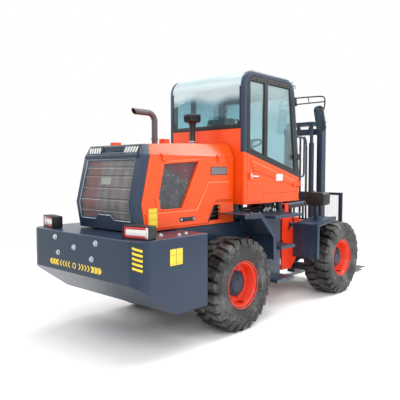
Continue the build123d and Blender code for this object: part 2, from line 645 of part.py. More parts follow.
# Rear frame: beams, axle saddles, spine, bulkhead, cab deck and hinge lugs
BULKHEAD = XP - 280
chassis = block(CW_FRONT, XP - 220, -BEAM_OUT, -BEAM_IN, BEAM_LOW, BEAM_TOP)
chassis = chassis + block(CW_FRONT, CW_FRONT + 40, -BEAM_OUT, 0, CW_LOW + 40, BEAM_TOP)
chassis = chassis + block(XR - 110, XR + 110, -BEAM_OUT, 0, 880, BEAM_LOW)
chassis = chassis + block(XR - PAD_HALF, XR + PAD_HALF, -PAD_OUT, -PAD_IN, PAD_Z, 900)
chassis = chassis + block(XR + 110, BULKHEAD + 40, -SPINE_OUT, -SPINE_IN, 700, BEAM_LOW)
chassis = chassis + block(XR + 150, BULKHEAD + 40, -SPINE_OUT, -SPINE_IN, 480, 700)
chassis = chassis + block(BULKHEAD, BULKHEAD + 40, -SPINE_OUT, 0, 440, DECK_Z)
chassis = chassis + block(BULKHEAD, BULKHEAD + 40, -BEAM_IN, 0, BEAM_LOW, DECK_Z)
chassis = chassis + block(XR + 350, XR + 390, -BEAM_OUT, -BEAM_IN, BEAM_TOP, DECK_Z)
chassis = chassis + block(XR + 350, XR + 1100, -500, 0, DECK_Z, DECK_Z + DECK_T)
deck_end = block(XR + 1100, XR + 1640, -430, 0, DECK_Z, DECK_Z + DECK_T)
chassis = chassis + (deck_end & upright(XP, 0, DECK_Z, DECK_Z + DECK_T, DECK_TURN_R))
chassis = chassis + block(XR + 700, XR + 900, -520, -BEAM_OUT, 1050, 1200)
for x, y in [(430, 440), (1560, 350)]:
    chassis = chassis + upright(XR + x, -y, DECK_Z, CAB_LOW, 45)
steer_base = (XP + STEER_BASE[0], -STEER_BASE[1])
for z in (STEER_Z - 40, STEER_Z + 25):
    ear = block(steer_base[0] - 50, steer_base[0] + 50, -STEER_BASE[1] - 45, -SPINE_OUT, z, z + 15)
    chassis = chassis + ear
chassis = chassis + upright(*steer_base, STEER_Z - 40, STEER_Z + 40, 20)
chassis = both(chassis)
chassis = chassis - rod((BULKHEAD - 40, 0, SHAFT_Z), (BULKHEAD + 60, 0, SHAFT_Z), 90)
for z0, z1 in (LUG_UP, LUG_DOWN):
    lug = block(BULKHEAD + 40, XP, -LUG_R, LUG_R, z0, z1) + upright(XP, 0, z0, z1, LUG_R)
    chassis = chassis + (lug - upright(XP, 0, z0, z1, PIVOT_R + PIN_FIT))
save("rear_chassis", chassis)
save("valve_bank", block(XR + 1120, XR + 1330, -420, -150, DECK_Z + DECK_T, 1415))

# Rear fenders, tanks with the entry platform and steps
arch_in = [(30, 1330), (345, 1330), (640, 1045), (655, 740)]
arch_out = [(667, 740), (653, 1051), (350, 1342), (30, 1342)]
lip_in = [(612, 740), (600, 1030), (330, 1290), (30, 1290)]
fender = prism_y(rear(arch_in + arch_out), -915, -505)
fender = fender + prism_y(rear(arch_in + lip_in), -915, -903)
save("rear_fenders", pair(fender))
TANK_TOP = 1250
tank = block(XR + 667, XR + 1080, -720, -520, 450, TANK_TOP)
tank = fillet(tank.edges().filter_by(Axis.Z).group_by(Axis.Y)[0], 40)
tank = tank + block(XR + 640, XR + 1290, -915, -515, TANK_TOP, TANK_TOP + 36)
for x0, x1, z in [(780, 1110, 850), (700, 1090, 432)]:
    tank = tank + block(XR + x0, XR + x1, -915, -700, z, z + 40)
save("side_tanks", pair(tank))

# Front frame: clevis lugs, wide rear box, mast box, saddles, cylinder lugs
FRONT_REAR = XP + 220
FRONT_WALL = XF - 560
front = block(FRONT_REAR, FRONT_REAR + 30, -250, 0, FRAME_LOW, FRAME_TOP)
cheek = [
    (FRONT_REAR, FRAME_LOW), (FRONT_WALL - 203, FRAME_LOW), (FRONT_WALL - 20, 615), (FRONT_WALL, 700),
    (FRONT_WALL, FRAME_TOP), (FRONT_REAR, FRAME_TOP), (FRONT_REAR, STEER_Z + 70),
    (FRONT_REAR + 40, STEER_Z + 50), (FRONT_REAR + 40, STEER_Z - 50), (FRONT_REAR, STEER_Z - 70),
]
front = front + prism_y(cheek, -FRAME_HALF, -FRAME_HALF + 30)
front = front + block(FRONT_REAR, FRONT_WALL, -FRAME_HALF, 0, FRAME_TOP - 30, FRAME_TOP)
front = front + block(FRONT_REAR, FRONT_WALL - 210, -FRAME_HALF, 0, FRAME_LOW, FRAME_LOW + 30)
front = front + block(FRONT_WALL - 30, FRONT_WALL, -FRAME_HALF, 0, 640, FRAME_TOP)
mast_horn = [
    (FRONT_WALL, PAD_Z), (XF + 110, PAD_Z), (XF + 170, 410), (XF + 330, 410), (XF + 375, 450),
    (XF + 375, 520), (XF + 260, 650), (XF + 160, 1060), (FRONT_WALL, 1060),
]
front = front + prism_y(mast_horn, -BOX_OUT, -BOX_IN)
front = front + block(FRONT_WALL, XF + 120, -BOX_IN, 0, 1030, 1060)
front = front + across(TILT_X, TILT_Z, -BOX_IN - 10, -BOX_IN + 70, TILT_R)
eye = (XP + STEER_EYE[0], -STEER_EYE[1])
for z in (STEER_Z - 40, STEER_Z + 25):
    front = front + block(eye[0] - 30, eye[0] + 50, -FRAME_HALF + 30, -STEER_EYE[1] + 45, z, z + 15)
for y in (TILT_Y - 37, TILT_Y + 22):
    front = front + block(TILT_BASE[0] - 50, TILT_BASE[0] + 50, -y - 15, -y, FRAME_TOP, TILT_BASE[1] + 45)
front = front + across(*TILT_BASE, -TILT_Y - 30, -TILT_Y + 30, 20)
front = both(front)
front = front - rod((FRONT_REAR - 40, 0, SHAFT_Z), (FRONT_REAR + 60, 0, SHAFT_Z), 95)
front = front - rod((FRONT_WALL - 80, 0, 660), (FRONT_WALL + 20, 0, 640), 110)
for z0, z1 in (LUG_UP, LUG_DOWN):
    for za in (z0 - CLEVIS_GAP - CLEVIS_T, z1 + CLEVIS_GAP):
        front = front + block(XP, FRONT_REAR, -LUG_R, LUG_R, za, za + CLEVIS_T)
        front = front + upright(XP, 0, za, za + CLEVIS_T, LUG_R)
    front = front + upright(XP, 0, z0 - CLEVIS_GAP - CLEVIS_T, z1 + CLEVIS_GAP + CLEVIS_T, PIVOT_R)
save("front_chassis", front)

FENDER_OUT = 905
FENDER_X = XF - 720
fender = block(FENDER_X, FENDER_X + 12, -FENDER_OUT, -FRAME_HALF, 600, 1108)
top = [(FENDER_X, 1100), (XF - 180, 1165), (XF - 180, 1177), (FENDER_X, 1112)]
fender = fender + prism_y(top, -FENDER_OUT, -545)
skirt = [
    (FENDER_X, 600), (FENDER_X, 1100), (XF - 180, 1165), (XF - 180, 1125), (FENDER_X + 45, 1066),
    (FENDER_X + 45, 600),
]
fender = fender + prism_y(skirt, -FENDER_OUT, 12 - FENDER_OUT)
LAMP_POST_TOP = 1345
post = block(XF - 480, XF - 430, -745, -695, 1125, LAMP_POST_TOP)
fender = fender + post
save("front_fenders", pair(fender))
LAMP_X = XF - 500
lamp = block(LAMP_X, LAMP_X + 200, -870, -570, LAMP_POST_TOP, LAMP_POST_TOP + 190)
lamp = fillet(lamp.edges().filter_by(Axis.Z), 40)
for y in (-790, -650):
    lamp = lamp + rod((LAMP_X + 198, y, LAMP_POST_TOP + 98), (LAMP_X + 218, y, LAMP_POST_TOP + 98), 62)
save("head_lamps", pair(lamp))


# Cylinders
def cylinder_line(base, tip):
    """Unit vector and pin to pin length of a cylinder."""
    way = Vector(*tip) - Vector(*base)
    return way.normalized(), way.length


def steering_cylinder():
    base = (*steer_base, STEER_Z)
    tip = (*eye, STEER_Z)
    way, length = cylinder_line(base, tip)
    start = Vector(*base)
    barrel_end = length - 320
    ring = upright(steer_base[0], steer_base[1], STEER_Z - 23, STEER_Z + 23, STEER_R)
    barrel = ring + rod(base, tuple(start + way * 80), STEER_ROD)
    barrel = barrel + rod(tuple(start + way * 70), tuple(start + way * barrel_end), STEER_R)
    barrel = barrel - upright(steer_base[0], steer_base[1], STEER_Z - 50, STEER_Z + 50, 20 + PIN_FIT)
    bore_end = tuple(start + way * (barrel_end + 1))
    barrel = barrel - rod(tuple(start + way * 85), bore_end, STEER_ROD + PIN_FIT)
    piston = rod(tuple(start + way * (85 + 228)), tuple(start + way * (length - 10)), STEER_ROD)
    piston = piston + upright(eye[0], eye[1], STEER_Z - 23, STEER_Z + 23, STEER_R)
    return barrel, piston


steer_barrel, steer_rod = steering_cylinder()
save("steer_barrel_right", steer_barrel)
save("steer_barrel_left", other_side(steer_barrel))
save("steer_rod_right", steer_rod)
save("steer_rod_left", other_side(steer_rod))


def tilt_cylinder():
    base = (TILT_BASE[0], -TILT_Y, TILT_BASE[1])
    tip = (TILT_EYE[0], -TILT_Y, TILT_EYE[1])
    way, length = cylinder_line(base, tip)
    start = Vector(*base)
    barrel_end = length - 220
    ring = across(*TILT_BASE, -TILT_Y - 20, -TILT_Y + 20, TILT_CYL_R)
    barrel = ring + rod(base, tuple(start + way * barrel_end), TILT_CYL_R)
    barrel = barrel - across(*TILT_BASE, -TILT_Y - 60, -TILT_Y + 60, 20 + PIN_FIT)
    bore_end = tuple(start + way * (barrel_end + 1))
    barrel = barrel - rod(tuple(start + way * 70), bore_end, TILT_ROD_R + PIN_FIT)
    barrel = barrel - block(TILT_BASE[0] - 60, TILT_BASE[0] + 60, -TILT_Y - 60, -TILT_Y - 20, 1200, 1450)
    barrel = barrel - block(TILT_BASE[0] - 60, TILT_BASE[0] + 60, -TILT_Y + 20, -TILT_Y + 60, 1200, 1450)
    piston = rod(tuple(start + way * 250), tuple(start + way * (length - 10)), TILT_ROD_R)
    piston = piston + across(*TILT_EYE, -TILT_Y - 26, -TILT_Y + 26, 36)
    return barrel, piston


tilt_barrel, tilt_rod = tilt_cylinder()
save("tilt_barrels", pair(tilt_barrel))
save("tilt_rods", pair(tilt_rod))

# Mast: outer channels with cross members, nested inner rails
MAST_FRONT = MAST_REAR + MAST_DEPTH
outer = block(MAST_REAR, MAST_FRONT, -MAST_HALF, -MAST_HALF + MAST_FLANGE, MAST_LOW, OUTER_TOP)
outer = outer - block(MAST_REAR + MAST_T, MAST_FRONT - MAST_T, -MAST_HALF + MAST_T, 0, 0, INNER_TOP)
for z0, z1 in [(180, 280), (TILT_EYE[1] - 80, TILT_EYE[1] + 80), (2430, 2530)]:
    outer = outer + block(MAST_REAR - 14, MAST_REAR, -MAST_HALF, 0, z0, z1)
foot = prism_y([
    (MAST_REAR + 5, 300), (MAST_REAR + 5, 640), (TILT_X - 60, 560), (TILT_X - 60, 430), (TILT_X, 380),
], -MAST_HALF, -MAST_HALF + MAST_FLANGE)
outer = (outer + foot) - across(TILT_X, TILT_Z, -MAST_HALF, 0, TILT_R + PIN_FIT)
for y in (TILT_Y - 43, TILT_Y + 28):
    outer = outer + block(TILT_EYE[0] - 45, MAST_REAR, -y - 15, -y, TILT_EYE[1] - 60, TILT_EYE[1] + 60)
outer = outer + block(LIFT_X - 50, MAST_REAR, -LIFT_Y - 50, -LIFT_Y + 50, 180, 220)
save("mast_outer", both(outer))
BARREL_TOP = 2300
lift_barrel = upright(LIFT_X, -LIFT_Y, 220, BARREL_TOP, LIFT_R)
lift_barrel = lift_barrel - upright(LIFT_X, -LIFT_Y, 300, BARREL_TOP + 5, ROD_R + PIN_FIT)
save("lift_barrels", pair(lift_barrel))

IN_REAR = MAST_REAR + MAST_T + SLIDE
IN_FRONT = MAST_FRONT - MAST_T - SLIDE
IN_OUT = MAST_HALF - MAST_T - SLIDE - 2
IN_IN = IN_OUT - 80
inner = block(IN_REAR, IN_FRONT, -IN_OUT, -IN_IN, MAST_LOW + 15, INNER_TOP)
inner = inner - block(IN_REAR + INNER_T, IN_FRONT - INNER_T, -IN_OUT, -IN_OUT + 33, 0, INNER_TOP + 5)
inner = inner - block(IN_REAR + INNER_T, IN_FRONT - INNER_T, -IN_IN - 33, -IN_IN, 0, INNER_TOP + 5)
for z0, z1 in [(200, 290), (1400, 1480)]:
    inner = inner + block(MAST_REAR + SLIDE, IN_REAR, -IN_IN - 20, 0, z0, z1)
inner = inner + block(LIFT_X - 45, IN_FRONT, -IN_IN, 0, INNER_TOP - 60, INNER_TOP)
inner = inner + upright(LIFT_X, -LIFT_Y, 340, INNER_TOP - 60, ROD_R)
inner = inner + across(MAST_REAR + 65, INNER_TOP - 105, -CHAIN_Y - 14, -CHAIN_Y + 14, 42)
hanger = block(MAST_REAR + 50, MAST_REAR + 80, -CHAIN_Y - 30, -CHAIN_Y - 14, INNER_TOP - 120, INNER_TOP - 60)
inner = inner + hanger
inner = both(inner)
save("mast_inner", inner)

# Carriage with backrest, chains and forks
ANCHOR_TOP = 700
CHAIN_X = MAST_REAR + 65 + 42
plate_out = IN_IN - SLIDE
carriage = block(IN_REAR, BAR_X, -plate_out, -plate_out + 24, 160, 760)
ROLLER_X = (IN_REAR + IN_FRONT) / 2
ROLLER_R = (IN_FRONT - IN_REAR) / 2 - INNER_T - SLIDE
for z in (230, 690):
    carriage = carriage + across(ROLLER_X, z, -plate_out - 26, -plate_out + 5, ROLLER_R)
for z0, z1 in [(160, 260), (600, 700)]:
    carriage = carriage + block(BAR_X, BAR_X + BAR_T, -BAR_HALF, 0, z0, z1)
carriage = carriage + block(CHAIN_X, BAR_X, -plate_out, 0, 620, ANCHOR_TOP)
carriage = both(carriage)
REST_HALF = 620
REST_TOP = 1490
rest = block(BAR_X + 5, BAR_X + BAR_T, -BAR_HALF, -BAR_HALF + 60, 700, 800)
rest = rest + block(BAR_X + 5, BAR_X + BAR_T, -REST_HALF, -BAR_HALF + 60, 760, 800)
rest = rest + block(BAR_X + 5, BAR_X + BAR_T, -REST_HALF, -REST_HALF + 60, 760, REST_TOP)
for z in (990, REST_TOP - 40):
    rest = rest + block(BAR_X + 5, BAR_X + BAR_T, -REST_HALF, 0, z, z + 40)
for y in (110, 290):
    rest = rest + block(BAR_X + 10, BAR_X + BAR_T - 5, -y - 13, -y + 13, 700, REST_TOP - 20)
carriage = carriage + both(rest)
save("carriage", carriage)
chain_y = (-CHAIN_Y - CHAIN_HALF, -CHAIN_Y + CHAIN_HALF)
chain = block(CHAIN_X + 4, CHAIN_X + 14, *chain_y, ANCHOR_TOP, INNER_TOP - 105)
for i in range(CHAIN_LINKS):
    z = ANCHOR_TOP + (INNER_TOP - 105 - ANCHOR_TOP) * (i + 0.25) / CHAIN_LINKS
    chain = chain + block(CHAIN_X, CHAIN_X + 18, *chain_y, z, z + 80)
save("lift_chains", pair(chain))
SHANK = BAR_X + BAR_T
TIP = XF + FORK_REACH
fork = prism_y([
    (SHANK, FORK_TOP), (SHANK, FORK_LOW), (TIP - 60, FORK_LOW), (TIP, FORK_LOW + 6), (TIP, FORK_LOW + 16),
    (SHANK + 700, FORK_LOW + FORK_T), (SHANK + FORK_T, FORK_LOW + FORK_T), (SHANK + FORK_T, FORK_TOP),
], -FORK_Y - FORK_HALF, -FORK_Y + FORK_HALF)
save("forks", pair(fork))
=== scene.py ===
"""Finishes, tyres, trim and studio stage for an articulated rough terrain forklift."""
import json
from math import cos, pi, radians, sin

import bmesh
import bpy
from mathutils import Matrix, Vector

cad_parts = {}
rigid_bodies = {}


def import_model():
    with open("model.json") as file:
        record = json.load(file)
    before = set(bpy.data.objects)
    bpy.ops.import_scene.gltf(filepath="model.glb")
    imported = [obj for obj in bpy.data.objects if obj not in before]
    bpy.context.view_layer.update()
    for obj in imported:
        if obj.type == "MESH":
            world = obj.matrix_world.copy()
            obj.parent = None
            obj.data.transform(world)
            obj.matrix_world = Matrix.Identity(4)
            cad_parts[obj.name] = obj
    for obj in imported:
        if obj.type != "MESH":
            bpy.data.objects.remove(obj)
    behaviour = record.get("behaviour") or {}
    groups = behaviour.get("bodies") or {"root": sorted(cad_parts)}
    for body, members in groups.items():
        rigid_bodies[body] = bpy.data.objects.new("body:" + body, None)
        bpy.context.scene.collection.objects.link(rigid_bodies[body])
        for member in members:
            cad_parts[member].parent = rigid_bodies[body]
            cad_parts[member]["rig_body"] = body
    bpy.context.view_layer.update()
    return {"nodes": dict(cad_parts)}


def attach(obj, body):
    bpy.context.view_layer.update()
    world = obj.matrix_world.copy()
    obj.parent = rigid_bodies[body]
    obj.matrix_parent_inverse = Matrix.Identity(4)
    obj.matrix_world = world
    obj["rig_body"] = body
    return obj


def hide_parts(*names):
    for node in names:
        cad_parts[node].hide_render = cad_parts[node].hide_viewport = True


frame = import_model()

bl_info = {
    "name": "Rough Terrain Forklift Finish",
    "version": (1, 0, 0),
    "blender": (4, 5, 0),
    "location": "View3D > Sidebar > Forklift",
    "description": "Paints the packed forklift and adds its tyres, trim, seat and stage",
    "category": "Object",
}

# Places that the pieces share with the solids, in metres
XR, XF = -1.390, 1.050
TRACK = 0.745
AXLE_Z = 0.5375
TAIL_X = XR - 1.600
CAB_Y = 0.650
# Ends of the cab's belt line, then foot and top of its front pillar, as X and height
BELT = ((XR + 0.326, 2.089), (XR + 1.600, 1.757))
PILLAR = ((XR + 1.640, 1.830), (XR + 1.465, 3.090))
# Heights on the hood's rear face, with their distance from the rear axle
REAR_LINE = [(1.215, -1.235), (1.500, -1.285), (2.000, -1.165), (2.125, -1.120)]
# X of each wheel, and its side
WHEELS = {
    "rear_right": (XR, -1), "rear_left": (XR, 1), "front_right": (XF, -1), "front_left": (XF, 1),
}
SIDES = ("right", "left")
# Scale of a wave texture with bands one millimetre apart
WAVE = 1000 * 2 * pi / 20
# Points closer than this are one point
MERGE = 1e-5


def linear(code):
    """Colour of the renderer for an sRGB hex value."""
    parts = [int(code[i:i + 2], 16) / 255 for i in (1, 3, 5)]
    return [c / 12.92 if c <= 0.04045 else ((c + 0.055) / 1.055) ** 2.4 for c in parts] + [1.0]


def colour(name, code, text):
    """Colour in the sidebar."""
    return bpy.props.FloatVectorProperty(
        name=name, description=text, default=linear(code), size=4, min=0, max=1, subtype="COLOR")


def length(name, metres, text):
    """Length in the sidebar."""
    return bpy.props.FloatProperty(
        name=name, description=text, default=metres, min=0, precision=4, subtype="DISTANCE", unit="LENGTH")


class ForkliftColours(bpy.types.PropertyGroup):
    """Colours of the machine."""
    body: colour("Body enamel", "#EC4F10", "Hood, cab and doors")
    chassis: colour("Chassis enamel", "#E5340D", "Rims and front frame")
    frame: colour("Frame enamel", "#26364A", "Counterweight, grille, pillars, fenders and mast")
    black: colour("Black parts", "#191B1E", "Window surrounds, lamps and mouldings")
    rubber: colour("Tyre rubber", "#17181A", "Tread and sidewalls under the dust")
    dust: colour("Dust", "#7C7A78", "Dry soil on tyres and low surfaces")
    glass: colour("Door glass", "#C3E2E8", "Tinted glass of doors and windscreen")
    rear_glass: colour("Rear glass", "#A9D6E3", "Darker tint of the bent rear glass")
    yellow: colour("Yellow film", "#F2D33A", "Stripes and plates")
    red: colour("Red lens", "#D9243A", "Tail lamp lenses")


class ForkliftSizes(bpy.types.PropertyGroup):
    """Sizes of the added pieces."""
    lugs: bpy.props.IntProperty(
        name="Lugs", description="Lugs on each side of a tyre", default=26, min=8, max=60)
    lug_height: length("Lug height", 0.036, "Lug above the carcass")
    edge: length("Edge rounding", 0.004, "Rounding of pressed and welded panels")
    wire_pitch: length("Grille wire pitch", 0.0128, "Distance of the wires in the rear grille")
    wire: length("Grille wire", 0.0024, "Thickness of the wires in the rear grille")
    film: length("Film thickness", 0.0012, "Stripes and plates above the paint")
    focal: length("Focal length", 0.04448, "Camera lens on a 36 mm sensor")


def add(tree, kind, feeds=None, **settings):
    """Adds one shader node with its settings, values and links."""
    item = tree.nodes.new("ShaderNode" + kind)
    for key, value in settings.items():
        setattr(item, key, value)
    for key, value in (feeds or {}).items():
        if isinstance(value, bpy.types.NodeSocket):
            tree.links.new(value, item.inputs[key])
        else:
            item.inputs[key].default_value = value
    return item


def blank(name):
    """Empty material with its tree and object coordinates."""
    made = bpy.data.materials.new(name)
    made.use_nodes = True
    made.node_tree.nodes.clear()
    return made, made.node_tree, add(made.node_tree, "TexCoord").outputs["Object"]


def close(made, tree, feeds):
    """Ends a material with its surface shader."""
    shader = add(tree, "BsdfPrincipled", feeds)
    add(tree, "OutputMaterial", {"Surface": shader.outputs[0]})
    return made


def shade(tone, factor):
    """Lighter or darker tone of a colour."""
    return [c * factor for c in tone[:3]] + [1.0]


def patches(wide_mm):
    """Scale of a noise texture whose patches are that wide."""
    return 1000 / wide_mm


def enamel(name, tone, rough, dust_tone, dusty, upper=None, ior=1.45):
    """Sprayed enamel: faint fading in broad patches, fine peel in the gloss, dust in the lowest metre.
    With an upper tone the paint changes along the cab's slanted belt line."""
    made, tree, where = blank(name)
    broad = add(tree, "TexNoise", {"Vector": where, "Scale": patches(625), "Detail": 2.0, "Roughness": 0.5})
    faded = add(tree, "Mix", {
        0: broad.outputs[0], 6: shade(tone, 0.90), 7: shade(tone, 1.08)}, data_type="RGBA")
    paint = faded.outputs[2]
    place = add(tree, "SeparateXYZ", {0: where})
    if upper:
        (x0, z0), (x1, z1) = BELT
        slope = (z1 - z0) / (x1 - x0)
        line = add(tree, "Math", {
            0: place.outputs["X"], 1: -slope, 2: place.outputs["Z"]}, operation="MULTIPLY_ADD")
        over = add(tree, "Math", {0: line.outputs[0], 1: z0 - slope * x0}, operation="GREATER_THAN")
        paint = add(tree, "Mix", {0: over.outputs[0], 6: paint, 7: upper}, data_type="RGBA").outputs[2]
    low = add(tree, "MapRange", {"Value": place.outputs["Z"], "From Min": 1.0, "From Max": 0.35})
    spots = add(tree, "TexNoise", {
        "Vector": where, "Scale": patches(111.11), "Detail": 8.0, "Roughness": 0.7})
    patch = add(tree, "MapRange", {"Value": spots.outputs[0], "From Min": 0.42, "From Max": 0.75})
    film = add(tree, "Math", {0: low.outputs[0], 1: patch.outputs[0]}, operation="MULTIPLY")
    thin = add(tree, "Math", {0: film.outputs[0], 1: dusty}, operation="MULTIPLY")
    dirty = add(tree, "Mix", {0: thin.outputs[0], 6: paint, 7: dust_tone}, data_type="RGBA")
    gloss = add(tree, "MapRange", {
        "Value": spots.outputs[0], "From Min": 0.3, "From Max": 0.7,
        "To Min": rough * 0.95, "To Max": rough * 1.12})
    # Orange peel is 2 mm wide on the real paint; drawn 9 mm wide, so that the render can hold it
    peel = add(tree, "TexNoise", {"Vector": where, "Scale": patches(9.09), "Detail": 1.0})
    bump = add(tree, "Bump", {"Strength": 0.02, "Distance": 0.002, "Height": peel.outputs[0]})
    return close(made, tree, {
        "Base Color": dirty.outputs[2], "Roughness": gloss.outputs[0], "Normal": bump.outputs[0],
        "IOR": ior, "Coat Weight": 0.1, "Coat Roughness": 0.1})


def grained(name, tone, rough, size_mm, depth, metallic=0.0, spread=0.25):
    """Surface with an even grain: moulded plastic, cast iron, plated or worn steel.
    The grain is drawn three times as wide as it is, so that the render can hold it."""
    made, tree, where = blank(name)
    grain = add(tree, "TexNoise", {
        "Vector": where, "Scale": patches(3 * size_mm), "Detail": 4.0, "Roughness": 0.6})
    broad = add(tree, "TexNoise", {"Vector": where, "Scale": patches(250), "Detail": 3.0})
    mixed = add(tree, "Mix", {
        0: broad.outputs[0], 6: shade(tone, 1 - spread), 7: shade(tone, 1 + spread)}, data_type="RGBA")
    gloss = add(tree, "MapRange", {
        "Value": grain.outputs[0], "From Min": 0.3, "From Max": 0.7,
        "To Min": rough * 0.75, "To Max": rough * 1.25})
    bump = add(tree, "Bump", {"Strength": depth, "Distance": 0.001, "Height": grain.outputs[0]})
    return close(made, tree, {
        "Base Color": mixed.outputs[2], "Metallic": metallic, "Roughness": gloss.outputs[0],
        "Normal": bump.outputs[0]})


def tyre_rubber(tones):
    """Cured rubber after work on dry ground: near black, with soil rubbed into patches and hollows."""
    made, tree, where = blank("cured_rubber_with_soil")
    cloud = add(tree, "TexNoise", {"Vector": where, "Scale": patches(250), "Detail": 7.0, "Roughness": 0.6})
    speck = add(tree, "TexNoise", {"Vector": where, "Scale": patches(22.22), "Detail": 5.0, "Roughness": 0.7})
    both = add(tree, "Math", {
        0: cloud.outputs[0], 1: 2.0, 2: speck.outputs[0]}, operation="MULTIPLY_ADD")
    soil = add(tree, "MapRange", {
        "Value": both.outputs[0], "From Min": 1.40, "From Max": 1.85, "To Max": 0.62})
    mixed = add(tree, "Mix", {
        0: soil.outputs[0], 6: shade(tones.rubber, 0.75), 7: tones.dust}, data_type="RGBA")
    bump = add(tree, "Bump", {"Strength": 0.35, "Distance": 0.004, "Height": both.outputs[0]})
    gloss = add(tree, "MapRange", {"Value": soil.outputs[0], "To Min": 0.55, "To Max": 0.9})
    return close(made, tree, {
        "Base Color": mixed.outputs[2], "Roughness": gloss.outputs[0], "Normal": bump.outputs[0]})


def safety_glass(name, tone, low, high, sheen_strength):
    """Tempered float glass with a blue-green tint and a thin uneven film of dust.
    A pale painted sheen, which stands in for the sky mirrored in the glass, grows from the low to the high
    level."""
    made, tree, where = blank(name)
    wipe = add(tree, "TexNoise", {"Vector": where, "Scale": patches(555.6), "Detail": 2.0, "Roughness": 0.4})
    haze = add(tree, "MapRange", {
        "Value": wipe.outputs[0], "From Min": 0.35, "From Max": 0.8, "To Max": 0.08})
    place = add(tree, "SeparateXYZ", {0: where})
    edge = add(tree, "Math", {
        0: wipe.outputs[0], 1: 0.22, 2: place.outputs["Z"]}, operation="MULTIPLY_ADD")
    # Painted reflection: a pale sky sheen that grows towards the top of the pane
    up = add(tree, "MapRange", {
        "Value": edge.outputs[0], "From Min": low, "From Max": high, "To Max": sheen_strength},
        interpolation_type="SMOOTHSTEP")
    film = add(tree, "Math", {0: haze.outputs[0], 1: up.outputs[0]}, operation="ADD")
    clear = add(tree, "Math", {0: 0.97, 1: film.outputs[0]}, operation="SUBTRACT")
    # The pale colour of the sheen is the painted sky reflection
    mixed = add(tree, "Mix", {0: up.outputs[0], 6: tone, 7: linear("#E6F0EE")}, data_type="RGBA")
    return close(made, tree, {
        "Base Color": mixed.outputs[2], "Roughness": haze.outputs[0],
        "Transmission Weight": clear.outputs[0], "IOR": 1.5})


def vinyl_film(name, tone):
    """Printed vinyl film: even colour, slightly scuffed, low gloss."""
    made, tree, where = blank(name)
    scuff = add(tree, "TexNoise", {
        "Vector": where, "Scale": patches(16.667), "Detail": 6.0, "Roughness": 0.7})
    worn = add(tree, "MapRange", {"Value": scuff.outputs[0], "From Min": 0.35, "From Max": 0.75})
    mixed = add(tree, "Mix", {0: worn.outputs[0], 6: tone, 7: shade(tone, 0.78)}, data_type="RGBA")
    gloss = add(tree, "MapRange", {"Value": worn.outputs[0], "To Min": 0.32, "To Max": 0.55})
    return close(made, tree, {"Base Color": mixed.outputs[2], "Roughness": gloss.outputs[0]})


def lens(name, tone, pitch_mm):
    """Moulded plastic lens with fine upright flutes that catch the light, with lighter and darker bands of
    painted highlight and shade along them.
    """
    made, tree, where = blank(name)
    flute = add(tree, "TexWave", {"Vector": where, "Scale": WAVE / pitch_mm, "Distortion": 0.4},
                bands_direction="Y")
    # Painted highlight and shade in bands along the flutes
    mixed = add(tree, "Mix", {
        0: flute.outputs[1], 6: shade(tone, 0.8), 7: shade(tone, 1.15)}, data_type="RGBA")
    bump = add(tree, "Bump", {"Strength": 0.5, "Distance": 0.002, "Height": flute.outputs[1]})
    return close(made, tree, {
        "Base Color": mixed.outputs[2], "Roughness": 0.12, "Normal": bump.outputs[0], "Coat Weight": 0.6,
        "Coat Roughness": 0.03})


def fin_core():
    """Radiator fins under dust: grey aluminium in fine upright lines, pale on the fin edges with painted
    shade between the fins, a red primed header on the left.
    """
    made, tree, where = blank("dusty_radiator_fins")
    place = add(tree, "SeparateXYZ", {0: where})
    # Fins stand 3 mm apart; drawn 14 mm apart, so that the render can hold them
    fins = add(tree, "TexWave", {"Vector": where, "Scale": WAVE / 14, "Distortion": 2.5, "Detail": 3.0},
               bands_direction="Y")
    cloud = add(tree, "TexNoise", {
        "Vector": where, "Scale": patches(142.86), "Detail": 5.0, "Roughness": 0.65})
    # Pale and dark lines: painted highlight on the fin edges, painted shade between the fins
    grey = add(tree, "Mix", {
        0: fins.outputs[1], 6: linear("#4C4A50"), 7: linear("#D6D3D6")}, data_type="RGBA")
    dusty = add(tree, "Mix", {
        0: cloud.outputs[0], 6: linear("#2F2B30"), 7: grey.outputs[2]}, data_type="RGBA")
    line = add(tree, "Math", {
        0: cloud.outputs[0], 1: 0.12, 2: place.outputs["Y"]}, operation="MULTIPLY_ADD")
    left = add(tree, "MapRange", {
        "Value": line.outputs[0], "From Min": 0.17, "From Max": 0.24, "To Max": 0.88})
    mixed = add(tree, "Mix", {
        0: left.outputs[0], 6: dusty.outputs[2], 7: linear("#861C28")}, data_type="RGBA")
    bump = add(tree, "Bump", {"Strength": 0.6, "Distance": 0.004, "Height": fins.outputs[1]})
    return close(made, tree, {"Base Color": mixed.outputs[2], "Roughness": 0.55, "Normal": bump.outputs[0]})


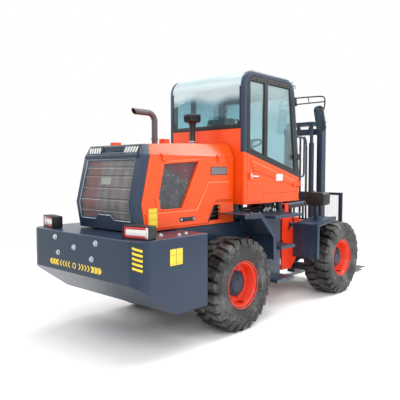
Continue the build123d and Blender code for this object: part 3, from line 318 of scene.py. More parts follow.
def pierced_sheet():
    """Black coated sheet with fine holes: dull grey, brown towards the top, pale glints from behind."""
    made, tree, where = blank("pierced_black_sheet")
    place = add(tree, "SeparateXYZ", {0: where})
    cloud = add(tree, "TexNoise", {
        "Vector": where, "Scale": patches(111.11), "Detail": 6.0, "Roughness": 0.7})
    base = add(tree, "Mix", {
        0: cloud.outputs[0], 6: linear("#222429"), 7: linear("#6A6C70")}, data_type="RGBA")
    line = add(tree, "Math", {
        0: cloud.outputs[0], 1: 0.20, 2: place.outputs["Z"]}, operation="MULTIPLY_ADD")
    line = add(tree, "Math", {
        0: place.outputs["X"], 1: 0.40, 2: line.outputs[0]}, operation="MULTIPLY_ADD")
    high = add(tree, "MapRange", {
        "Value": line.outputs[0], "From Min": 1.06, "From Max": 1.14, "To Max": 0.85})
    brown = add(tree, "Mix", {0: high.outputs[0], 6: base.outputs[2], 7: linear("#743A42")}, data_type="RGBA")
    # Holes are 4 mm wide; the glints behind them are drawn 26 mm wide, so that the render can hold them
    spot = add(tree, "TexVoronoi", {"Vector": where, "Scale": patches(26.316)})
    near = add(tree, "MapRange", {"Value": spot.outputs["Distance"], "From Min": 0.42, "From Max": 0.10})
    some = add(tree, "MapRange", {
        "Value": cloud.outputs[0], "From Min": 0.48, "From Max": 0.60, "To Max": 0.75})
    glint = add(tree, "Math", {0: near.outputs[0], 1: some.outputs[0]}, operation="MULTIPLY")
    mixed = add(tree, "Mix", {
        0: glint.outputs[0], 6: brown.outputs[2], 7: linear("#C4C9CD")}, data_type="RGBA")
    gloss = add(tree, "MapRange", {"Value": cloud.outputs[0], "To Min": 0.35, "To Max": 0.65})
    return close(made, tree, {"Base Color": mixed.outputs[2], "Roughness": gloss.outputs[0]})


PAINTS = {}


def mix_enamels(tones):
    """Coats of sprayed enamel: name, tone, roughness, share of dust, IOR."""
    coats = {
        # Bright body colour with a soft wide highlight
        "orange": ("sprayed_orange_enamel", tones.body, 0.30, 0.35, 1.45),
        # Dark blue-grey sheet with a subdued sheen
        "slate": ("sprayed_slate_enamel", tones.frame, 0.33, 0.40, 1.37),
        # Thick even paint over a casting, almost free of dust
        "casting": ("enamel_on_cast_iron", tones.frame, 0.30, 0.08, 1.35),
        # Redder orange that reads apart from the body
        "chassis": ("sprayed_red_orange_enamel", tones.chassis, 0.30, 0.25, 1.45),
        # Pale slate on the edges of folded sheet: painted highlight of the sky mirrored there
        "lip": ("slate_enamel_with_painted_highlight", linear("#8592A0"), 0.24, 0.05, 1.45),
        # Pale orange on pressed creases: painted highlight of the sky mirrored there
        "crease": ("orange_enamel_with_painted_highlight", linear("#F58A5C"), 0.24, 0.05, 1.45),
        # Frame slate darkened to 60 %: painted shade of the hub deep in the dished rim, and dull so that the
        # rim stands out
        "hub": ("hub_enamel_with_painted_shade", shade(tones.frame, 0.6), 0.42, 0.06, 1.35),
        # Slate a little deeper than the body's, on the mast
        "mast": ("mast_slate_paint", shade(tones.frame, 0.85), 0.36, 0.4, 1.38),
        # Dull dusty paint on what feet touch
        "tread": ("anti_slip_step_enamel", shade(tones.frame, 0.75), 0.5, 0.7, 1.45),
    }
    for key, (name, tone, rough, dusty, ior) in coats.items():
        PAINTS[key] = enamel(name, tone, rough, tones.dust, dusty, ior=ior)
    # Orange below the belt line, black around the panes
    PAINTS["door"] = enamel("two_tone_door_enamel", tones.body, 0.30, tones.dust, 0.3, upper=tones.black)


def mix_grained(tones):
    """Plastics, cloth and metals: name, tone, roughness, grain in mm, depth, metallic, spread of tone."""
    stock = {
        # Dull black mouldings with a fine grain
        "plastic": ("moulded_polypropylene", tones.black, 0.5, 3.0, 0.25, 0.0, 0.25),
        # Deeper black lines with almost no highlight
        "seal": ("extruded_rubber_seal", shade(tones.black, 0.6), 0.6, 4.0, 0.2, 0.0, 0.25),
        # Dark metal with a greasy uneven gloss
        "iron": ("oily_cast_iron", linear("#3A3B3D"), 0.55, 5.0, 0.5, 0.5, 0.25),
        # Grey-brown metal, scraped brighter in places
        "steel": ("worn_forged_steel", linear("#5B5957"), 0.45, 6.0, 0.35, 0.8, 0.25),
        # Sharp bright rods
        "chrome": ("hard_chrome_plate", linear("#D8DADC"), 0.10, 8.0, 0.03, 1.0, 0.04),
        # Pale grey bolts with a soft glint
        "zinc": ("zinc_plated_steel", linear("#B9C3C8"), 0.35, 2.0, 0.15, 0.7, 0.12),
        # Brownish pipe with broad heat stains
        "pipe": ("heat_stained_steel_pipe", linear("#5E5456"), 0.45, 9.0, 0.3, 0.6, 0.3),
        # Dark padding with an embossed grain
        "vinyl": ("embossed_seat_vinyl", linear("#2B2C2F"), 0.55, 6.0, 0.5, 0.0, 0.25),
        # Grey wire that breaks up the radiator behind it
        "wire": ("galvanised_grille_wire", linear("#938E8D"), 0.45, 5.0, 0.3, 0.3, 0.5),
        # Painted highlight: pale wires across the grille, beside the painted shadow slats
        "mesh_wire": ("painted_highlight_wire", linear("#C4C0BF"), 0.5, 5.0, 0.3, 0.1, 0.5),
        # Dark wire with little gloss
        "mesh": ("black_coated_wire", linear("#4B4B4D"), 0.5, 5.0, 0.3, 0.3, 0.25),
        # Grey mirror that shows a dim sky
        "mirror": ("dimmed_mirror_glass", linear("#62656F"), 0.22, 20.0, 0.0, 1.0, 0.05),
        # Pale soft roof lining without gloss
        "lining": ("napped_headliner_cloth", linear("#E4E8E6"), 0.9, 4.0, 0.4, 0.0, 0.06),
        # Light grey lamp cases with a satin gloss
        "pale_metal": ("cast_aluminium_lamp_case", linear("#A9AEB2"), 0.4, 3.0, 0.2, 0.6, 0.1),
    }
    for key, row in stock.items():
        PAINTS[key] = grained(*row)


def mix_paints():
    """Makes every finish once, from the colours in the sidebar."""
    tones = bpy.context.scene.forklift_colours
    mix_enamels(tones)
    mix_grained(tones)
    PAINTS["rubber"] = tyre_rubber(tones)
    PAINTS["core"] = fin_core()
    PAINTS["sheet"] = pierced_sheet()
    # Nearly clear in the doors, bluer in the bent pane; in both a pale painted reflection of the sky grows
    # towards the roof, strongest in the bent pane
    PAINTS["glass"] = safety_glass("tempered_float_glass", tones.glass, 2.35, 3.15, 0.30)
    PAINTS["rear_glass"] = safety_glass("bent_rear_glass", tones.rear_glass, 2.80, 2.93, 0.60)
    # Flat bright or grey patches on the glossier paint
    PAINTS["grey_film"] = vinyl_film("grey_vinyl_film", linear("#6E7276"))
    PAINTS["faded_film"] = vinyl_film("faded_green_vinyl_film", linear("#C3D0C6"))
    PAINTS["yellow"] = vinyl_film("yellow_vinyl_film", tones.yellow)
    PAINTS["dark_film"] = vinyl_film("dark_vinyl_film", linear("#2B3138"))
    PAINTS["pale_film"] = vinyl_film("pale_vinyl_film", linear("#E3E7E6"))
    # Fluted lenses that glint in fine lines
    PAINTS["red_lens"] = lens("red_acrylic_lens", tones.red, 14.0)
    PAINTS["clear_lens"] = lens("clear_acrylic_lens", linear("#F1F0EC"), 18.0)
    PAINTS["cell_lens"] = lens("frosted_polycarbonate_lens", linear("#CDD2D3"), 9.0)


NODE_PAINT = {
    "orange": ["hood_cover", "hood_lid_right", "hood_lid_left", "cab_tub"],
    "chassis": ["front_chassis"] + ["rim_" + w for w in WHEELS],
    "slate": ["grille_shell", "cab_frame", "cab_roof", "rear_fenders", "side_tanks", "front_fenders",
              "rear_chassis", "valve_bank", "grab_bars", "steer_barrel_right", "steer_barrel_left",
              "tilt_barrels"],
    "casting": ["counterweight"],
    "door": ["door_right", "door_left"],
    "mast": ["mast_outer", "mast_inner", "carriage", "lift_barrels"],
    "core": ["radiator", "grille_screen"],
    "sheet": ["lid_mesh_right", "lid_mesh_left"],
    "glass": ["windscreen", "door_glass_right", "door_glass_left"],
    "rear_glass": ["rear_window"],
    "plastic": ["steering_column", "mirrors", "head_lamps", "roof_lamps", "rear_work_lamps", "air_precleaner",
                "tail_lamps"],
    "iron": ["rear_axle", "front_axle", "engine"],
    "chrome": ["tilt_rods", "steer_rod_right", "steer_rod_left"],
    "steel": ["forks", "lift_chains"],
    "pipe": ["exhaust_pipe"],
    "vinyl": ["seat"],
    "rubber": ["tyre_" + w for w in WHEELS],
}


def join(bm, part, index=0, at=None):
    """Adds a finished shape to a piece, with its paint's index and its place."""
    for face in part.faces:
        face.material_index = index
    if at is not None:
        part.transform(at)
    mesh = bpy.data.meshes.new("shape")
    part.to_mesh(mesh)
    part.free()
    bm.from_mesh(mesh)
    bpy.data.meshes.remove(mesh)


def piece(name, bm, body, paints, angle=35):
    """Turns a bmesh into a finished object that rides on a body."""
    mesh = bpy.data.meshes.new(name)
    bm.to_mesh(mesh)
    bm.free()
    for paint in paints:
        mesh.materials.append(PAINTS[paint])
    for face in mesh.polygons:
        face.use_smooth = True
    mesh.set_sharp_from_angle(angle=radians(angle))
    made = bpy.data.objects.new(name, mesh)
    bpy.context.scene.collection.objects.link(made)
    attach(made, body)
    return made


def flip(part):
    """Turns a right-hand shape into the left-hand one."""
    bmesh.ops.scale(part, vec=(1, -1, 1), verts=part.verts)
    bmesh.ops.reverse_faces(part, faces=part.faces)
    return part


def join_both(bm, part, index=0):
    """Adds a right-hand shape and its mirror image."""
    twin = flip(part.copy())
    join(bm, part, index)
    join(bm, twin, index)


def both_sides(kind, build, body, paints, node=None):
    """Right and left piece from a function that builds the right-hand shape."""
    for name in SIDES:
        bm = build() if name == "right" else flip(build())
        made = piece(kind.format(name), bm, body.format(name), paints)
        if node:
            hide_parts(node)


def on_wheels(kind, finish, build, paints, angle=35):
    """Piece on each wheel, in place of its solid, from a function that builds the left-hand shape."""
    for name, (x, side) in WHEELS.items():
        bm = build() if side > 0 else flip(build())
        bmesh.ops.translate(bm, vec=(x, side * TRACK, AXLE_Z), verts=bm.verts)
        made = piece(f"{kind}_{name}_{finish}", bm, f"{name}_wheel", paints, angle)
        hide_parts(f"{kind}_{name}")


def bevel(part, edges, offset, segments):
    """Rounds the given edges."""
    bmesh.ops.bevel(part, geom=edges, offset=offset, offset_type="OFFSET", segments=segments, profile=0.5,
                    affect="EDGES", material=-1)


def round_edges(part, edge, segments=2, least=radians(25)):
    """Rounds the edges where two faces meet at an angle."""
    if edge:
        sharp = [e for e in part.edges if len(e.link_faces) == 2 and e.calc_face_angle(0) > least]
        bevel(part, sharp, edge, segments)
    return part


def draw_out(part, faces, way):
    """Gives flat faces their thickness along a vector."""
    drawn = bmesh.ops.extrude_face_region(part, geom=faces)
    moved = [v for v in drawn["geom"] if isinstance(v, bmesh.types.BMVert)]
    bmesh.ops.translate(part, vec=Vector(way), verts=moved)
    bmesh.ops.recalc_face_normals(part, faces=part.faces)


def slab(low, high, edge=0.0, segments=2):
    """Box between two corners with rounded edges."""
    part = bmesh.new()
    bmesh.ops.create_cube(part, size=1.0)
    low, high = Vector(low), Vector(high)
    bmesh.ops.scale(part, vec=high - low, verts=part.verts)
    bmesh.ops.translate(part, vec=(low + high) / 2, verts=part.verts)
    return round_edges(part, edge, segments)


def plate(points, way, edge=0.0, segments=2):
    """Flat outline drawn out along a vector."""
    part = bmesh.new()
    face = part.faces.new([part.verts.new(p) for p in points])
    draw_out(part, [face], way)
    return round_edges(part, edge, segments)


def turned(profile, steps, axis=(0, 1, 0)):
    """Closed profile, given as (along the axis, radius), turned about the Y or another axis."""
    part = bmesh.new()
    ring = [part.verts.new((r, y, 0)) for y, r in profile]
    edges = [part.edges.new((a, b)) for a, b in zip(ring, ring[1:] + ring[:1])]
    bmesh.ops.spin(part, geom=ring + edges, cent=(0, 0, 0), axis=(0, 1, 0), angle=2 * pi, steps=steps,
                   use_merge=True)
    bmesh.ops.remove_doubles(part, verts=part.verts, dist=MERGE)
    bmesh.ops.recalc_face_normals(part, faces=part.faces)
    part.transform(Vector((0, 1, 0)).rotation_difference(Vector(axis)).to_matrix().to_4x4())
    return part


def cone(foot, top, height, sides):
    """Upright round or many-sided body about the origin."""
    part = bmesh.new()
    bmesh.ops.create_cone(part, cap_ends=True, segments=sides, radius1=foot, radius2=top, depth=height)
    return part


def facing(place, way):
    """Matrix that stands a shape, made on z = 0, on a surface with that outward direction."""
    turn = Vector((0, 0, 1)).rotation_difference(Vector(way)).to_matrix().to_4x4()
    return Matrix.Translation(place) @ turn


def bar(start, end, radius, sides=16, edge=0.0):
    """Round or many-sided bar between two points."""
    start, end = Vector(start), Vector(end)
    part = cone(radius, radius, (end - start).length, sides)
    round_edges(part, edge, 2, radians(60))
    part.transform(facing((start + end) / 2, end - start))
    return part


def tube(points, radius, sides=4, smooth=True):
    """Bent pipe along a few points; sides counts the bevel steps of its round section."""
    curve = bpy.data.curves.new("pipe", "CURVE")
    curve.dimensions = "3D"
    curve.bevel_depth = radius
    curve.bevel_resolution = sides
    curve.use_fill_caps = True
    line = curve.splines.new("NURBS" if smooth else "POLY")
    line.points.add(len(points) - 1)
    for knot, place in zip(line.points, points):
        knot.co = (*place, 1)
    line.order_u = 3
    line.use_endpoint_u = True
    holder = bpy.data.objects.new("pipe", curve)
    mesh = bpy.data.meshes.new_from_object(holder)
    part = bmesh.new()
    part.from_mesh(mesh)
    bpy.data.objects.remove(holder)
    bpy.data.curves.remove(curve)
    bpy.data.meshes.remove(mesh)
    bmesh.ops.remove_doubles(part, verts=part.verts, dist=MERGE)
    bmesh.ops.recalc_face_normals(part, faces=part.faces)
    return part


def hex_bolt(radius, height):
    """Hexagon head with its washer, standing on z = 0."""
    part = bmesh.new()
    head = round_edges(cone(radius, radius, height, 6), radius * 0.12, 1, radians(50))
    join(part, head, 0, Matrix.Translation((0, 0, height * 0.75)))
    washer = cone(radius * 1.5, radius * 1.4, height * 0.3, 20)
    join(part, washer, 0, Matrix.Translation((0, 0, height * 0.15)))
    return part


def rear_face(z):
    """X of the hood's rear face at a height."""
    for (za, xa), (zb, xb) in zip(REAR_LINE, REAR_LINE[1:]):
        if z <= zb:
            return XR + xa + (xb - xa) * (z - za) / (zb - za)
    raise ValueError("height above the hood's rear face")


def front_line(z):
    """X of the cab's front pillar at a height above its knee."""
    (x0, z0), (x1, z1) = PILLAR
    return x0 + (x1 - x0) * (z - z0) / (z1 - z0)


def span(outline, level, axis):
    """Lowest and highest crossing of a convex outline with a level on one of its two axes."""
    hits = []
    for a, b in zip(outline, outline[1:] + outline[:1]):
        if (a[axis] - level) * (b[axis] - level) < 0:
            share = (level - a[axis]) / (b[axis] - a[axis])
            hits.append(a[1 - axis] + (b[1 - axis] - a[1 - axis]) * share)
    return min(hits), max(hits)


def steps_of(low, high, pitch):
    """Even levels between two limits, half a pitch from each."""
    count = max(1, round((high - low) / pitch))
    return [low + (high - low) * (i + 0.5) / count for i in range(count)]


class FORKLIFT_OT_paint(bpy.types.Operator):
    """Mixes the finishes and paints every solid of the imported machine"""
    bl_idname = "forklift.paint"
    bl_label = "Paint Solids"

    def execute(self, context):
        mix_paints()
        for paint, names in NODE_PAINT.items():
            for name in names:
                mesh = frame["nodes"][name].data
                mesh.materials.clear()
                mesh.materials.append(PAINTS[paint])
        return {"FINISHED"}


class FORKLIFT_OT_panels(bpy.types.Operator):
    """Rounds the edges of the pressed and welded panels, which carry the highlights"""
    bl_idname = "forklift.panels"
    bl_label = "Round Panel Edges"

    # Paint, slot and share of the edge rounding for each node
    SOFTENED = {
        "grille_shell": ("slate", "slate_paint", 1.0), "hood_cover": ("orange", "orange_paint", 0.4),
        "hood_lid_right": ("orange", "orange_paint", 0.4), "hood_lid_left": ("orange", "orange_paint", 0.4),
        "cab_tub": ("orange", "orange_paint", 1.0), "rear_fenders": ("slate", "slate_paint", 0.8),
        "side_tanks": ("slate", "slate_paint", 1.0), "front_chassis": ("chassis", "orange_paint", 1.0),
        "carriage": ("mast", "black_paint", 0.8), "forks": ("steel", "steel", 0.8),
        "mast_outer": ("mast", "black_paint", 0.8),
    }

    def execute(self, context):
        edge = context.scene.forklift_sizes.edge
        for name, (paint, slot, share) in self.SOFTENED.items():
            source = frame["nodes"][name]
            part = bmesh.new()
            part.from_mesh(source.data)
            bmesh.ops.remove_doubles(part, verts=part.verts, dist=MERGE)
            round_edges(part, edge * share)
            made = piece(name + "_rounded", part, source["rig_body"], [paint])
            flat = made.modifiers.new("even_shading", "WEIGHTED_NORMAL")
            flat.keep_sharp = True
            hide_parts(name)
        return {"FINISHED"}


class FORKLIFT_OT_fenders(bpy.types.Operator):
    """Bends the front fenders from sheet and adds the raised lips of all four"""
    bl_idname = "forklift.fenders"
    bl_label = "Fenders"

    OUT, SHEET, BEND = -0.905, 0.012, 0.040
    LINE = [(0.330, 0.600), (0.330, 1.100), (0.870, 1.165)]
    ARCH_Y = -0.915
    ARCH = [(0.120, 1.342), (0.350, 1.342), (0.653, 1.051), (0.667, 0.740)]
    ARCH_IN = [(0.120, 1.292), (0.330, 1.292), (0.601, 1.031), (0.613, 0.740)]

    def sheet(self, y0, y1, lift, depth):
        """Bent strip that follows the front fender's line, between two widths and two levels."""
        out = [(x - lift, z + lift * (z > 1)) for x, z in self.LINE]
        back = [(x + depth, z - depth * (z > 1)) for x, z in out]
        back[2] = (out[2][0], back[2][1])
        part = plate([(x, y0, z) for x, z in out + back[::-1]], (0, y1 - y0, 0))
        for place, radius in ((out[1], self.BEND), (back[1], self.BEND - depth * 0.9)):
            near = {v for v in part.verts if (v.co.xz - Vector(place)).length < 1e-4}
            bevel(part, [e for e in part.edges if near.issuperset(e.verts)], radius, 6)
        return round_edges(part, 0.0025, 2, radians(50))

    def front(self):
        """Right front fender: wall, rim with two beads, lamp post and bolts."""
        bm = bmesh.new()
        join(bm, self.sheet(self.OUT, -0.545, 0.0, self.SHEET))
        join(bm, slab((0.330, -0.548, 0.600), (0.342, -0.500, 1.094), 0.003))
        join(bm, self.sheet(self.OUT, self.OUT + 0.052, 0.007, self.SHEET))
        for y in (self.OUT + 0.006, self.OUT + 0.050):
            join(bm, self.sheet(y - 0.005, y + 0.005, 0.010, self.SHEET))
        join(bm, self.sheet(self.OUT, self.OUT + 0.012, 0.0, 0.045))
        join(bm, slab((0.570, -0.745, 1.118), (0.620, -0.695, 1.345), 0.006))
        for z in (0.66, 0.84, 1.02):
            join(bm, hex_bolt(0.008, 0.006), 0, facing((0.330, -0.525, z), (-1, 0, 0)))
        return bm

    def lips(self):
        """Raised flange on the outer face of a rear fender, with a bead on each of its edges."""
        bm = bmesh.new()
        outer, inner = ([(XR + x, self.ARCH_Y, z) for x, z in line] for line in (self.ARCH, self.ARCH_IN))
        for k in range(3):
            join(bm, plate([outer[k], outer[k + 1], inner[k + 1], inner[k]], (0, -0.004, 0)))
        for line in (outer, inner):
            join(bm, tube([(x, y - 0.002, z) for x, y, z in line], 0.006, 2, False))
        return bm

    def execute(self, context):
        bm = bmesh.new()
        join_both(bm, self.front())
        made = piece("front_fenders_bent", bm, "front_frame", ["slate"])
        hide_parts("front_fenders")
        bm = bmesh.new()
        join_both(bm, self.lips())
        piece("rear_fender_lips", bm, "rear_frame", ["slate"])
        return {"FINISHED"}


class FORKLIFT_OT_tyres(bpy.types.Operator):
    """Makes the four lugged tyres over their carcasses"""
    bl_idname = "forklift.tyres"
    bl_label = "Tyres"

    SIDE = [(0.166, 0.2555), (0.172, 0.283), (0.181, 0.289), (0.186, 0.318), (0.192, 0.322), (0.199, 0.360),
            (0.2045, 0.400), (0.2055, 0.420), (0.201, 0.452), (0.188, 0.477), (0.160, 0.492), (0.080, 0.5005)]
    CROWN = 0.5012
    # Place across the tyre, drop from the lug's top and radius of its foot, from the middle outwards
    LUG = [(0.008, 0.0, 0.494), (0.070, 0.001, 0.490), (0.130, 0.002, 0.486), (0.176, 0.008, 0.474)]
    LUG_END = (0.2075, 0.452, 0.425)

    def lug(self, height):
        """One slanted lug of the outer half, at the tyre's top."""
        part = bmesh.new()
        bmesh.ops.create_cube(part, size=1.0)
        along = [e for e in part.edges if abs((e.verts[0].co - e.verts[1].co).y) > 0.5]
        bmesh.ops.subdivide_edges(part, edges=along, cuts=3, use_grid_fill=True)
        top = self.CROWN + height
        stations = [(y, top - drop, foot) for y, drop, foot in self.LUG] + [self.LUG_END]
        for v in part.verts:
            step = round((v.co.y + 0.5) * 4)
            out = step / 4
            y, crest, foot = stations[step]
            lean = -0.034 * out - 0.010 * sin(pi * out)
            width = (0.096 if v.co.z < 0 else 0.086) * (0.86 + 0.2 * out)
            v.co = (0.018 + lean + v.co.x * width, y, foot if v.co.z < 0 else crest)
        return round_edges(part, 0.005, 1, radians(40))

    def whole(self, count, height):
        """Carcass with its two staggered rows of lugs, outer side towards the left."""
        bm = bmesh.new()
        outer = self.SIDE + [(0.0, 0.502)]
        inner = [(-y, r) for y, r in reversed(self.SIDE)]
        join(bm, turned(outer + inner, 104))
        lug = self.lug(height)
        for i in range(count):
            join(bm, lug.copy(), 0, Matrix.Rotation(2 * pi * i / count, 4, "Y"))
            join(bm, flip(lug.copy()), 0, Matrix.Rotation(2 * pi * (i + 0.5) / count, 4, "Y"))
        lug.free()
        return bm

    def execute(self, context):
        sizes = context.scene.forklift_sizes
        on_wheels("tyre", "lugged", lambda: self.whole(sizes.lugs, sizes.lug_height),
                  ["rubber"], 32)
        return {"FINISHED"}


class FORKLIFT_OT_rims(bpy.types.Operator):
    """Makes the dished rims with their planetary hubs, nuts and valves"""
    bl_idname = "forklift.rims"
    bl_label = "Rims and Hubs"

    DISH = [(-0.166, 0.2545), (-0.166, 0.274), (-0.170, 0.277), (-0.175, 0.274), (-0.175, 0.243),
            (-0.150, 0.236), (-0.020, 0.228), (0.006, 0.215), (0.006, 0.150), (0.030, 0.150), (0.030, 0.205),
            (0.036, 0.219), (0.060, 0.232), (0.148, 0.240), (0.156, 0.246), (0.160, 0.262), (0.166, 0.268),
            (0.174, 0.268), (0.178, 0.273), (0.176, 0.278), (0.168, 0.279), (0.166, 0.276), (0.166, 0.2545)]
    HUB = [(-0.070, 0.061), (-0.070, 0.149), (0.040, 0.149), (0.066, 0.149), (0.074, 0.141), (0.078, 0.120),
           (0.090, 0.112), (0.097, 0.100), (0.099, 0.050), (0.099, 0.0), (0.051, 0.0), (0.051, 0.061)]
    NUTS, HUB_BOLTS = 10, 8

    def whole(self):
        """Rim with its hub, outer side towards the left."""
        bm = bmesh.new()
        join(bm, turned(self.DISH, 72), 0)
        join(bm, turned(self.HUB, 48), 1)
        for i in range(self.NUTS):
            turn = Matrix.Rotation(2 * pi * (i + 0.5) / self.NUTS, 4, "Y")
            join(bm, hex_bolt(0.013, 0.020), 0, turn @ facing((0, 0.030, 0.182), (0, 1, 0)))
        for i in range(self.HUB_BOLTS):
            turn = Matrix.Rotation(2 * pi * i / self.HUB_BOLTS, 4, "Y")
            join(bm, hex_bolt(0.007, 0.008), 1, turn @ facing((0, 0.0745, 0.129), (0, 1, 0)))
        join(bm, bar((0, 0.098, 0.060), (0, 0.108, 0.060), 0.016, 8, 0.002), 1)
        join(bm, tube([(0.05, 0.04, -0.224), (0.05, 0.08, -0.222), (0.05, 0.13, -0.212)], 0.006), 2)
        return bm

    def execute(self, context):
        on_wheels("rim", "dish", self.whole, ["chassis", "hub", "plastic"])
        return {"FINISHED"}


class FORKLIFT_OT_tail(bpy.types.Operator):
    """Adds bolts, chevrons, stripes, blank plates and tail lamps to the counterweight"""
    bl_idname = "forklift.tail"
    bl_label = "Counterweight Trim"

    BOLTS = [(0.438, 1.130), (-0.302, 1.129), (0.079, 1.052), (0.381, 0.965), (-0.231, 0.962)]
    TOP_BOLTS = [(-2.50, -0.72), (-2.36, -0.84), (-2.22, -0.80), (-2.36, 0.84), (-2.22, 0.80)]
    TOP_Z = 1.2
    STRIP_Y, STRIP_Z = 0.078, 0.858
    # First place, pitch, count and thickness of the thin and of the thick chevrons
    CHEVRONS = [(0.075, 0.052, 4, 0.020), (0.288, 0.058, 3, 0.046)]
    # Films start this far under the painted face, so that no gap shows at their edges
    HAIR = 0.0002
    CORNER_R, CORNER_Y = 0.150, -0.800
    STRIPES, STRIPE_Z, STRIPE_TALL, STRIPE_LEAN = 11, 0.916, 0.0232, 0.03
    STRIPE_FROM, STRIPE_TO = radians(20), radians(58)
    LAMP_X, LAMP_Y, LAMP_Z = (XR - 1.455, XR - 1.330), (-0.915, -0.600), (1.200, 1.332)
    LAMP_TOE = radians(13)
    PLATE_X, PLATE_Y = (-2.592, -2.503), -0.9502

    def bolts(self):
        """Bolts on the rear face and on top."""
        bm = bmesh.new()
        for y, z in self.BOLTS:
            join(bm, hex_bolt(0.021, 0.016), 0, facing((TAIL_X, y, z), (-1, 0, 0)))
        for x, y in self.TOP_BOLTS:
            join(bm, hex_bolt(0.017, 0.014), 0, facing((x, y, self.TOP_Z), (0, 0, 1)))
        return bm

    def chevron(self, y, wide, tall, thick, way, skin):
        """Arrow strip on the rear face, pointing along y."""
        half = tall / 2
        line = [(0, -half), (way * wide, 0), (0, half), (thick * way, half), (way * (wide + thick), 0),
                (thick * way, -half)]
        return plate([(TAIL_X + self.HAIR, y + a, self.STRIP_Z + b) for a, b in line], (-skin, 0, 0))

    def chevrons(self, skin):
        """Ring with a row of chevrons to each side."""
        bm = bmesh.new()
        ring = turned([(0.0, 0.020), (0.0, 0.032), (skin, 0.032), (skin, 0.020)], 32, (-1, 0, 0))
        join(bm, ring, 0, Matrix.Translation((TAIL_X + self.HAIR, self.STRIP_Y, self.STRIP_Z)))
        for way in (1, -1):
            for first, pitch, count, thick in self.CHEVRONS:
                for k in range(count):
                    y = self.STRIP_Y + way * (first + pitch * k)
                    join(bm, self.chevron(y, 0.026, 0.062, thick, way, skin), 0)
        return bm

    def stripes(self, skin):
        """Slanted stripes on the rounded corner, each bent from a straight strip."""
        bm = bmesh.new()
        centre = Vector((TAIL_X + self.CORNER_R, self.CORNER_Y, 0))
        for i in range(self.STRIPES):
            part = bmesh.new()
            bmesh.ops.create_grid(part, x_segments=8, y_segments=1, size=0.5)
            draw_out(part, part.faces[:], (0, 0, 1))
            for v in part.verts:
                turn = self.STRIPE_FROM + (self.STRIPE_TO - self.STRIPE_FROM) * (v.co.x + 0.5)
                z = self.STRIPE_Z + (i + v.co.y) * self.STRIPE_TALL - self.STRIPE_LEAN * v.co.x
                reach = self.CORNER_R + 0.0005 + skin * v.co.z
                v.co = centre + Vector((-reach * cos(turn), -reach * sin(turn), z))
            bmesh.ops.recalc_face_normals(part, faces=part.faces)
            join(bm, part, i % 2)
        return bm

    def plates(self, skin):
        """Two blank yellow plates with ruled lines on the right flank."""
        bm = bmesh.new()
        y = self.PLATE_Y
        front, ink = y - skin, 0.0004
        for x in self.PLATE_X:
            join(bm, slab((x, front, 0.930), (x + 0.083, y, 1.090), 0.0004, 1), 0)
            for z in (0.946, 1.030):
                join(bm, slab((x + 0.008, front - ink, z), (x + 0.075, front + ink, z + 0.003)), 1)
        return bm

    def lamp(self):
        """Tail lamp with a black case and a lens of three bands, right-hand side."""
        bm = bmesh.new()
        (x0, x1), (y0, y1), (z0, z1) = self.LAMP_X, self.LAMP_Y, self.LAMP_Z
        join(bm, slab((x0 + 0.012, y0, z0), (x1, y1, z1), 0.010, 3), 0)
        for ya, yb, za, zb in [(y0, y0 + 0.014, z0, z1), (y1 - 0.014, y1, z0, z1),
                               (y0, y1, z1 - 0.012, z1), (y0, y1, z0, z0 + 0.012)]:
            join(bm, slab((x0, ya, za), (x0 + 0.03, yb, zb), 0.005, 2), 0)
        low, high = z0 + 0.013, z1 - 0.013
        front, back, gap = x0 + 0.006, x0 + 0.02, 0.0008
        levels = (low, low + 0.022, high - 0.024, high)
        for za, zb, index in zip(levels, levels[1:], (1, 2, 1)):
            join(bm, slab((front, y0 + 0.050, za + gap), (back, y1 - 0.034, zb - gap), 0.004, 2), index)
        join(bm, slab((front, y0 + 0.016, low), (back, y0 + 0.048, high), 0.004, 2), 2)
        join(bm, slab((front, y1 - 0.032, low), (back, y1 - 0.016, high), 0.004, 2), 1)
        for k in range(3):
            z = low + (high - low) * (k + 0.5) / 3
            join(bm, bar((x0 + 0.0045, y0 + 0.032, z), (back, y0 + 0.032, z), 0.010, 16, 0.002), 3)
        # The lamps toe out about their outer ends
        corner = Vector((x0 + 0.085, y0, 0))
        toe = Matrix.Rotation(self.LAMP_TOE, 4, "Z")
        bm.transform(Matrix.Translation(corner) @ toe @ Matrix.Translation(-corner))
        return bm

    def execute(self, context):
        skin = context.scene.forklift_sizes.film
        piece("counterweight_bolts", self.bolts(), "rear_frame", ["zinc"])
        piece("tail_chevrons", self.chevrons(skin), "rear_frame", ["yellow"])
        piece("corner_stripes", self.stripes(skin), "rear_frame", ["dark_film", "yellow"])
        piece("side_plates", self.plates(skin), "rear_frame", ["yellow", "dark_film"])
        both_sides("tail_lamp_{}", self.lamp, "rear_frame",
                   ["plastic", "red_lens", "clear_lens", "chrome"], "tail_lamps")
        return {"FINISHED"}


